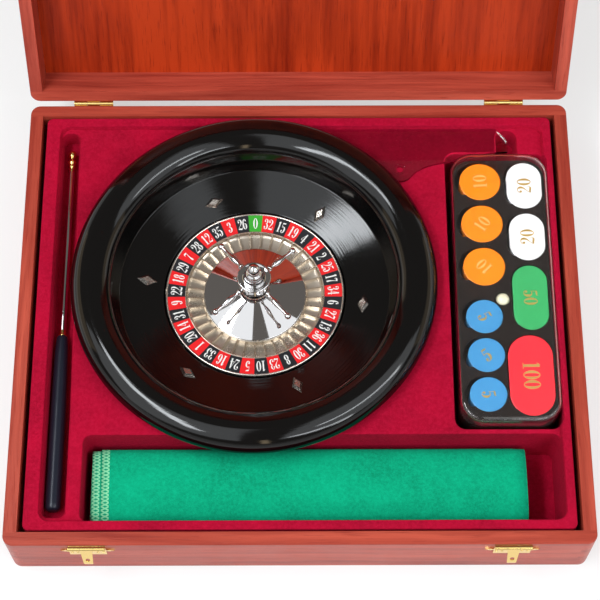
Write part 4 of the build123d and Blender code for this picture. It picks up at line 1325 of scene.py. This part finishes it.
    def cone(self) -> None:
        """The polished cone that rises to the turret, with a rolled edge at its foot."""
        base, edge, thick = self.base_radius, self.pocket_inner, 1.2
        hub, top, low = base - 2.0, self.cone_top_z, self.cone_edge_z
        profile = [
            (hub, top - thick), (base, top - thick), (edge, low - thick), (edge, low),
            (edge - 0.9, low + 0.28), (base, top), (hub, top), (hub, top - thick),
        ]
        cone = lathe("cone", softened(profile, 0.3), WHEEL_X, WHEEL_Y, around=256)
        self.shop.keep(cone, "rotor", ["chrome"], "chrome", ["rotor_cone"])

    def turret(self) -> None:
        """The turned turret: foot, waist, dished disc, stepped dome and knob."""
        foot, waist, disc, base = self.cone_top_z, self.waist, self.disc, self.base_radius
        steps = [
            (0, foot - 1.2), (base - 2.0, foot - 1.2), (base - 2.0, foot), (base, foot),
            (base, foot + 1.6), (base - 1.2, foot + 2.8), (waist + 0.6, foot + 5.0),
            (waist, foot + 9.0), (waist, foot + 20.6), (waist + 0.6, foot + 21.4),
            (disc - 1.0, foot + 22.0), (disc, foot + 22.8), (disc - 0.2, foot + 24.2),
            (disc - 1.2, foot + 24.6), (9.0, foot + 23.6), (8.9, foot + 25.8),
            (7.7, foot + 27.4), (7.5, foot + 29.4), (6.4, foot + 30.6), (6.6, foot + 32.2),
            (4.2, foot + 33.8), (5.0, foot + 36.0), (5.3, foot + 38.4), (4.4, foot + 41.0),
            (2.4, foot + 42.7), (0, foot + 43.6),
        ]
        turret = lathe("turret_turned", softened(steps, 0.9), WHEEL_X, WHEEL_Y, around=96)
        self.shop.keep(turret, "rotor", ["chrome"], "chrome", ["turret"])

    def handles(self) -> None:
        """Four turned handles: a smooth radius along the handle, with a ball at its end."""
        waist, ball, reach = self.waist, self.handle_ball, self.handle_reach
        span = reach - waist
        arc = np.linspace(math.radians(36), math.pi, 10)
        ball_end = np.column_stack([ball * np.sin(arc), reach - ball * np.cos(arc)])
        stem = through(
            [
                (1.5, waist - 3.2), (1.5, waist + 0.5), (2.0, waist + 0.7),
                (2.0, waist + span * 0.09), (1.3, waist + span * 0.14), (2.5, waist + span * 0.21),
                (1.5, waist + span * 0.27), (2.6, waist + span * 0.48), (1.3, waist + span * 0.82),
                (1.65, reach - ball * 0.85),
            ],
            6,
        )
        profile = np.vstack([[0, waist - 3.2], stem, ball_end])
        points, faces = revolved(profile, 28)
        parts = []
        height, droop = self.cone_top_z + self.handle_height, math.radians(90 + self.handle_droop)
        for index in range(4):
            turn = math.radians(self.handle_turn + 90 * index)
            place = pose(WHEEL_X, WHEEL_Y, height, (turn, "Z"), (droop, "Y"))
            parts.append((placed(points, place), faces))
        handles = gathered("handles", parts)
        self.shop.keep(handles, "rotor", ["chrome"], "chrome", ["turret_handles"])


# ------------------------------------------------------------------ rake
@dataclass
class Rake:
    """The turned stick in its slot and the clear head."""

    shop: Workshop
    x: float = -192.27
    z: float = 39.3
    grip_radius: float = 6.3

    def turned(self, name: str, profile: Points, finish: str, slot: str, node: str) -> None:
        """Turns a piece of the stick about the line along Y."""
        points, faces = revolved(profile, 48)
        place = pose(self.x, 0, self.z, (-math.pi / 2, "X"))
        piece = mesh_object(name, placed(points, place), faces)
        self.shop.keep(piece, "rake_stick", [finish], slot, [node])

    def build(self) -> None:
        """Makes grip, ferrule, rod and tip from the places of their CAD nodes."""
        back, grip_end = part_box("stick_grip")[0][1] / MM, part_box("stick_grip")[1][1] / MM
        ferrule_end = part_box("stick_ferrule")[1][1] / MM
        rod_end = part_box("stick_rod")[1][1] / MM
        tip_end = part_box("stick_tip")[1][1] / MM
        r = self.grip_radius
        grip = [
            (0, back), (r * 0.55, back), (r * 0.85, back + 1.2), (r, back + 3.5),
            (r, grip_end - 60), (r * 0.86, grip_end - 14), (r * 0.74, grip_end - 2),
            (r * 0.6, grip_end), (0, grip_end),
        ]
        self.turned("grip", softened(grip, 2.0), "grip", "grip_plastic", "stick_grip")
        ferrule = [
            (0, grip_end), (3.3, grip_end), (3.3, grip_end + 1.2), (2.8, grip_end + 2.0),
            (2.8, ferrule_end), (0, ferrule_end),
        ]
        self.turned("ferrule", softened(ferrule, 0.4), "brass", "brass", "stick_ferrule")
        rod = [(0, ferrule_end), (2.6, ferrule_end), (2.6, rod_end), (0, rod_end)]
        self.turned("rod", softened(rod, 0.3), "chrome", "chrome", "stick_rod")
        beads = [
            (0, 0), (1.7, 0), (1.7, 0.18), (2.9, 0.24), (2.4, 0.34), (3.6, 0.42), (3.6, 0.50),
            (1.7, 0.56), (1.8, 0.66), (3.0, 0.70), (3.5, 0.84), (2.8, 0.96), (0, 1),
        ]
        tip = [(radius, rod_end + (tip_end - rod_end) * share) for radius, share in beads]
        self.turned("tip", softened(tip, 0.7), "brass", "brass", "stick_tip")
        self.shop.dress("rake_head", "acrylic")


# ------------------------------------------------------------------ chip box
@dataclass(frozen=True)
class Stacks:
    """The stacks of one kind of chip or plaque and what is printed on their top ones.

    Each place is (x, y, turn of the number in degrees, height of its digits).
    """

    node: str
    size: tuple
    finish: str
    ink: str
    text: str
    places: tuple


@dataclass
class ChipBox:
    """The moulded tray, its stacks, the ball and the clear cover."""

    shop: Workshop
    x: float = 166.1
    y: float = 23.1
    low: float = 8.0
    stack_height: float = 48.0
    chip: float = 3.2
    print_rise: float = 0.05
    print_stretch: float = 0.98
    print_advance: float = 0.62
    width: float = 80.6
    length: float = 239.0
    corner: float = 19.0
    ledge: float = 51.2
    cover_height: float = 14.3
    cover_sheet: float = 1.4
    cover_round: float = 4.0
    ball_radius: float = 6.2
    kinds: tuple = (
        Stacks(
            "chips_ten", (34.4, 34.4), "orange", "orange print", "10",
            ((-14.7, 98.1, 92, 11.4), (-14.7, 59.0, 52, 10.8), (-14.7, 19.9, 135, 10.4)),
        ),
        Stacks(
            "chips_five", (29.6, 29.6), "blue", "gold print", "5",
            ((-16.5, -24.6, -66, 11.4), (-16.5, -58.3, 30, 11.4), (-16.5, -92.0, -86, 11.2)),
        ),
        Stacks(
            "plaques_twenty", (29.0, 43.0), "white", "gold print", "20",
            ((21.9, 94.1, 90, 11.6), (21.9, 46.5, 90, 11.6)),
        ),
        Stacks(
            "plaque_fifty", (28.6, 57.4), "green", "gold print", "50", ((21.5, -8.3, -90, 11.4),)
        ),
        Stacks(
            "plaque_hundred", (36.2, 68.8), "red", "gold print", "100", ((18.5, -76.0, -90, 13.6),)
        ),
    )

    def build(self) -> None:
        """Builds every piece of the box."""
        self.shop.dress("chip_tray", "tray black")
        for kind in self.kinds:
            self.chips(kind)
            self.print(kind)
        self.ball()
        self.cover()

    def chips(self, kind: Stacks) -> None:
        """Stacks of single chips: each chip's side is inset by a rounding at both of its faces."""
        count, chip = int(self.stack_height // self.chip), self.chip
        edge = [
            (0.42, 0.0), (0.12, 0.14), (0.0, 0.45), (0.0, chip - 0.55), (0.12, chip - 0.2),
            (0.42, chip - 0.03),
        ]
        profile = [(2.0, 0.0)]
        for index in range(count):
            profile += [(inset, height + index * chip) for inset, height in edge]
        profile += [(0.9, count * chip), (2.0, count * chip)]
        profile = np.array(profile) + np.array([0.0, self.low])
        outline = stadium(*kind.size)
        parts = [
            capped(stacked(outline, profile, self.x + x, self.y + y)) for x, y, *_ in kind.places
        ]
        piece = gathered(kind.node + "_stacks", parts)
        self.shop.keep(piece, "chip_box", [kind.finish], kind.finish + "_chip", [kind.node])

    def print(self, kind: Stacks) -> None:
        """The value printed on the top chip of each stack."""
        top = self.low + int(self.stack_height // self.chip) * self.chip + self.print_rise
        parts = []
        for x, y, turn, height in kind.places:
            points, faces = lettering(kind.text, height, self.print_stretch, self.print_advance)
            place = pose(self.x + x, self.y + y, top, (math.radians(turn), "Z"))
            parts.append((placed(points, place), faces))
        piece = gathered(kind.node + "_print", parts)
        self.shop.keep(piece, "chip_box", [kind.ink], kind.finish + "_chip")

    def ball(self) -> None:
        """The ball: a half circle turned about its upright axis."""
        low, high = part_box("roulette_ball")
        middle = (low + high) / 2 / MM
        turn = np.linspace(-np.pi / 2, np.pi / 2, 25)
        radius = self.ball_radius
        profile = np.column_stack([radius * np.cos(turn), middle[2] + radius * np.sin(turn)])
        ball = lathe("ball", profile, middle[0], middle[1], around=48)
        self.shop.keep(ball, "chip_box", ["ivory"], "ivory", ["roulette_ball"])

    def cover(self) -> None:
        """The clear cover: a rounded-box outline carried through an inner and an outer profile."""
        top, ledge = self.ledge + self.cover_height, self.ledge
        sheet, turn = self.cover_sheet, np.linspace(0, np.pi / 2, 9)

        def corner(bend: float, inset: float) -> Points:
            """A quarter round from the side to the top, at an inset from the outer face."""
            across = inset + bend - bend * np.cos(turn)
            return np.column_stack([across, top - inset - bend + bend * np.sin(turn)])

        inner = [*corner(self.cover_round - sheet, sheet)[::-1], (sheet, ledge)]
        profile = np.array([*inner, (0.0, ledge), *corner(self.cover_round, 0.0)])
        outline = rounded_box(self.width, self.length, self.corner, 128)
        cover = mesh_object("cover", *capped(stacked(outline, profile, self.x, self.y)))
        self.shop.keep(cover, "cover", ["acrylic"], "clear_acrylic", ["clear_cover"])


# ------------------------------------------------------------------ cloth
@dataclass
class FoldedCloth:
    """The felt cloth, folded once across and then rolled flat into a long bundle."""

    shop: Workshop
    ply: float = 1.15
    felt: float = 0.85
    turns: float = 6.6
    first_angle: float = 205.0
    squareness: float = 0.62
    outer_hem: float = 8.0
    inner_hem: float = 0.6
    fold_gap: float = 1.5
    fold_share: float = 0.97
    margin: float = 0.45
    along: int = 760
    across: int = 90

    def section(self, angle: Points, inset: Points, half: Points) -> tuple[Points, Points]:
        """The roll's section: a rounded rectangle that shrinks as it turns.

        Args:
            angle: the turn at each point, in radians.
            inset: how far the section has shrunk at each point.
            half: half of the first turn's width and height.

        Returns:
            The (y, z) points and their outward normals.
        """
        a = np.maximum(half[0] - inset, 2.0)
        b = np.maximum(half[1] - inset, 0.6)
        cosine, sine = np.cos(angle), np.sin(angle)
        y = a * np.sign(cosine) * np.abs(cosine) ** self.squareness
        z = b * np.sign(sine) * np.abs(sine) ** self.squareness
        slope_y, slope_z = np.gradient(y), np.gradient(z)
        size = np.maximum(np.hypot(slope_y, slope_z), 1e-6)
        normal = np.stack([-slope_z, slope_y], -1) / size[:, None]
        out = np.sign(normal[:, 0] * cosine + normal[:, 1] * sine)
        return np.stack([y, z], -1), normal * np.where(out == 0, 1, out)[:, None]

    def layers(self, low: float, high: float) -> tuple[Points, Points, Points]:
        """The way across the cloth, from one hem to the fold and back to the other hem.

        Args:
            low: the bundle's end at the hems.
            high: the bundle's end at the fold.

        Returns:
            At each point its x, its side of the roll's middle line and how near it is to the fold.
        """
        u = np.linspace(0, 1, self.across)
        fold = 1 - np.abs(2 * u - 1)
        side = self.ply / 2 * np.cos(np.pi * np.clip((u - 0.5) / 0.02 * 0.5 + 0.5, 0, 1))
        start = np.where(u < 0.5, low + self.outer_hem, low + self.inner_hem)
        reach = high - self.fold_gap - start
        line, bow = start + reach * fold, start + reach * np.sin(fold * np.pi / 2)
        return np.where(fold > self.fold_share, np.maximum(bow, line), line), side, fold

    def build(self) -> None:
        """Makes the cloth.

        A point is (x(u), roll(v) + normal(v) * side(u)): v runs along the roll, whose section
        shrinks by two plies a turn, and u runs across the cloth. The hems sway a little from turn
        to turn, and the upper faces ripple.
        """
        low, high = (np.array(corner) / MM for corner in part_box("felt_cloth"))
        middle = (low + high) / 2
        v = np.linspace(0, 1, self.along)
        angle = -2 * np.pi * self.turns * v + math.radians(self.first_angle)
        inset = 2 * self.ply * self.turns * v
        half = (high - low)[1:] / 2 - self.ply - np.array([0.2, 0.1])
        roll, normal = self.section(angle, inset, half)
        x, side, fold = self.layers(low[0], high[0])
        stagger = 1.1 * np.sin(5.3 * v * self.turns + 0.6) - 5.0 * v
        grid_x = x + np.clip((1 - fold) * stagger[:, None], -0.5, 3.0)
        ripple = 0.35 * np.sin(grid_x * 0.045 + 3 * angle[:, None])
        ripple += 0.25 * np.sin(grid_x * 0.021 + 1.3)
        ease = 0.5 * np.clip(1 - inset / 14.0, 0, 1)[:, None] * (roll[:, 1:] > 0)
        grid_y = middle[1] + roll[:, :1] + normal[:, :1] * side
        grid_z = middle[2] + roll[:, 1:] + normal[:, 1:] * side + ripple * ease
        grid_z = np.clip(grid_z, low[2] + self.margin, high[2] - self.margin)
        points = np.stack([grid_x, grid_y, grid_z], -1).reshape(-1, 3) * MM
        data = bpy.data.meshes.new("cloth")
        faces = quads(self.along, self.across, False, False)
        data.from_pydata(points.tolist(), [], faces.tolist())
        cloth = bpy.data.objects.new("cloth", data)
        bpy.context.scene.collection.objects.link(cloth)
        length = running(np.hypot(*np.diff(roll, axis=0).T))
        width = running(np.abs(np.diff(x)) + np.abs(np.diff(side)))
        total = width[-1]
        from_hem = np.minimum(width, total - width)
        uv = np.stack(np.broadcast_arrays(from_hem[None, :], length[:, None]), -1).reshape(-1, 2)
        corners = np.zeros(len(data.loops), np.int32)
        data.loops.foreach_get("vertex_index", corners)
        layer = data.uv_layers.new(name="cut")
        layer.data.foreach_set("uv", (uv[corners] * MM).astype(np.float32).ravel())
        data.shade_smooth()
        wall = cloth.modifiers.new("felt", "SOLIDIFY")
        wall.thickness = self.felt * MM
        wall.offset = 0.0
        self.shop.keep(cloth, "case", ["hemmed felt"], "green_felt", ["felt_cloth"])
        log.info("cloth flat size %.0f by %.0f mm", total, length[-1])


# ------------------------------------------------------------------ studio
@dataclass
class Studio:
    """Pale floor, soft lamps and the camera."""

    focal: float = 106.67
    place: tuple = (-1.25, -581.7, 1365.5)
    pitch: float = 24.39
    yaw: float = -0.18
    level: float = 1.2
    room: float = 0.16
    floor_glow: float = 0.55

    def floor(self) -> None:
        """A pale floor that rises into a low backdrop all round and keeps the object's shadow."""
        reach, rise, bend, around = 5.0, 1.4, 0.6, 48
        turn = np.linspace(0, np.pi / 2, 7)
        rings = [(reach * share, 0.0) for share in (0.12, 0.3, 0.6, 0.85)]
        rings += [(reach + bend * math.sin(a), bend - bend * math.cos(a)) for a in turn]
        rings.append((reach + bend, rise))
        points, faces = revolved(np.array(rings), around)
        data = bpy.data.meshes.new("floor")
        data.from_pydata(points.tolist(), [], faces + [list(range(around))])
        floor = bpy.data.objects.new("floor", data)
        bpy.context.scene.collection.objects.link(floor)
        material, graph, shader, _ = start_material("pale floor")
        settle(shader, Base_Color=(0.95, 0.95, 0.95, 1), Roughness=0.9, Specular_IOR_Level=0.0)
        glow = graph.add("Emission", {"Color": (1, 1, 1, 1), "Strength": 1.0})
        path = graph.add("LightPath")
        seen = path.outputs["Is Camera Ray"]
        for kind in ("Glossy", "Transmission"):
            seen = graph.math("MAXIMUM", seen, path.outputs[f"Is {kind} Ray"])
        blend_last(graph, graph.times(seen, self.floor_glow), shader, glow)
        floor.data.materials.append(material)

    def world(self) -> None:
        """A dim warm room."""
        world = bpy.data.worlds.new("studio")
        bpy.context.scene.world = world
        world.use_nodes = True
        back = world.node_tree.nodes["Background"]
        back.inputs["Color"].default_value = (1.0, 0.93, 0.86, 1)
        back.inputs["Strength"].default_value = self.room

    def panel(
        self,
        name: str,
        start: tuple,
        end: tuple,
        across: tuple,
        width: float,
        level: float,
        colour: tuple,
    ) -> None:
        """Hangs a soft panel of light that starts at one edge and shines on the object.

        Args:
            name: the lamp's name.
            start: one end of the edge, in metres.
            end: the other end of the edge.
            across: roughly the way that the panel reaches from the edge.
            width: how far it reaches.
            level: how bright its face is, where 1 is white.
            colour: its colour.
        """
        start, end = Vector(start), Vector(end)
        run = (end - start).normalized()
        side = Vector(across)
        side = (side - run * side.dot(run)).normalized()
        middle = (start + end) / 2 + side * width / 2
        away = side.cross(run)
        if away.dot(middle) < 0:
            side, away = -side, -away
        length = (end - start).length
        data = bpy.data.lights.new(name, "AREA")
        data.shape = "RECTANGLE"
        data.size, data.size_y = width, length
        data.energy = level * math.pi * width * length
        data.color = colour
        lamp = bpy.data.objects.new(name, data)
        bpy.context.scene.collection.objects.link(lamp)
        lamp.rotation_euler = Matrix((side, run, away)).transposed().to_euler()
        lamp.location = middle
        lamp.visible_camera = False

    def lamps(self) -> None:
        """Two wide panels over the front with a dark wedge between, bright strips and warm ones."""
        cool, warm, low, plain = (0.92, 0.965, 1.0), (1.0, 0.78, 0.5), -0.2, self.level
        for name, start, end, across, width, level, colour in (
            ("left", (-0.08, 0.15, 2.0), (-0.28, -1.75, 1.2), (-1, 0.0, low), 2.2, plain, cool),
            ("right", (0.24, 0.15, 2.0), (0.30, -1.7, 1.2), (1, 0.0, low), 2.2, plain, cool),
            ("left strip", (-0.62, 0.45, 1.7), (-0.62, -1.1, 1.5), (-1, 0, low), 0.24, 13.0, cool),
            ("right strip", (0.62, -0.95, 1.7), (1.7, -0.25, 1.35), (1, -1, low), 0.2, 10.0, cool),
            ("front strip", (1.2, -1.25, 0.75), (0.34, -1.45, 1.15), (0, 0, 1), 0.2, 8.0, cool),
            ("front", (0.02, -1.55, 1.2), (0.05, -1.7, 0.6), (1, 0, 0), 0.1, 3.0, warm),
            ("left room", (-2.0, -0.1, 0.3), (-2.0, 1.6, 0.3), (0, 0, 1), 0.9, 0.6, warm),
            ("right room", (2.0, -0.1, 0.3), (2.0, 1.6, 0.3), (0, 0, 1), 0.9, 0.5, warm),
        ):
            self.panel(name, start, end, across, width, level, colour)

    def camera(self) -> None:
        """The camera, from the fit to the photograph."""
        data = bpy.data.cameras.new("camera")
        data.lens = self.focal
        data.sensor_width = 36.0
        data.clip_end = 50.0
        camera = bpy.data.objects.new("camera", data)
        camera.location = tuple(value * MM for value in self.place)
        camera.rotation_euler = (math.radians(self.pitch), 0, math.radians(self.yaw))
        bpy.context.scene.collection.objects.link(camera)
        bpy.context.scene.camera = camera
        bpy.context.scene.view_settings.view_transform = "Standard"

    def build(self) -> None:
        """Sets the whole studio."""
        self.floor()
        self.world()
        self.lamps()
        self.camera()


def main() -> None:
    """Builds the scene in order."""
    logging.basicConfig(level=logging.INFO, format="%(name)s: %(message)s")
    Studio().build()
    shop = Workshop()
    case = WoodenCase(shop)
    case.dress()
    case.nails()
    Wheel(shop).build()
    Rotor(shop).build()
    Rake(shop).build()
    ChipBox(shop).build()
    FoldedCloth(shop).build()


if __name__ == "__main__":
    main()
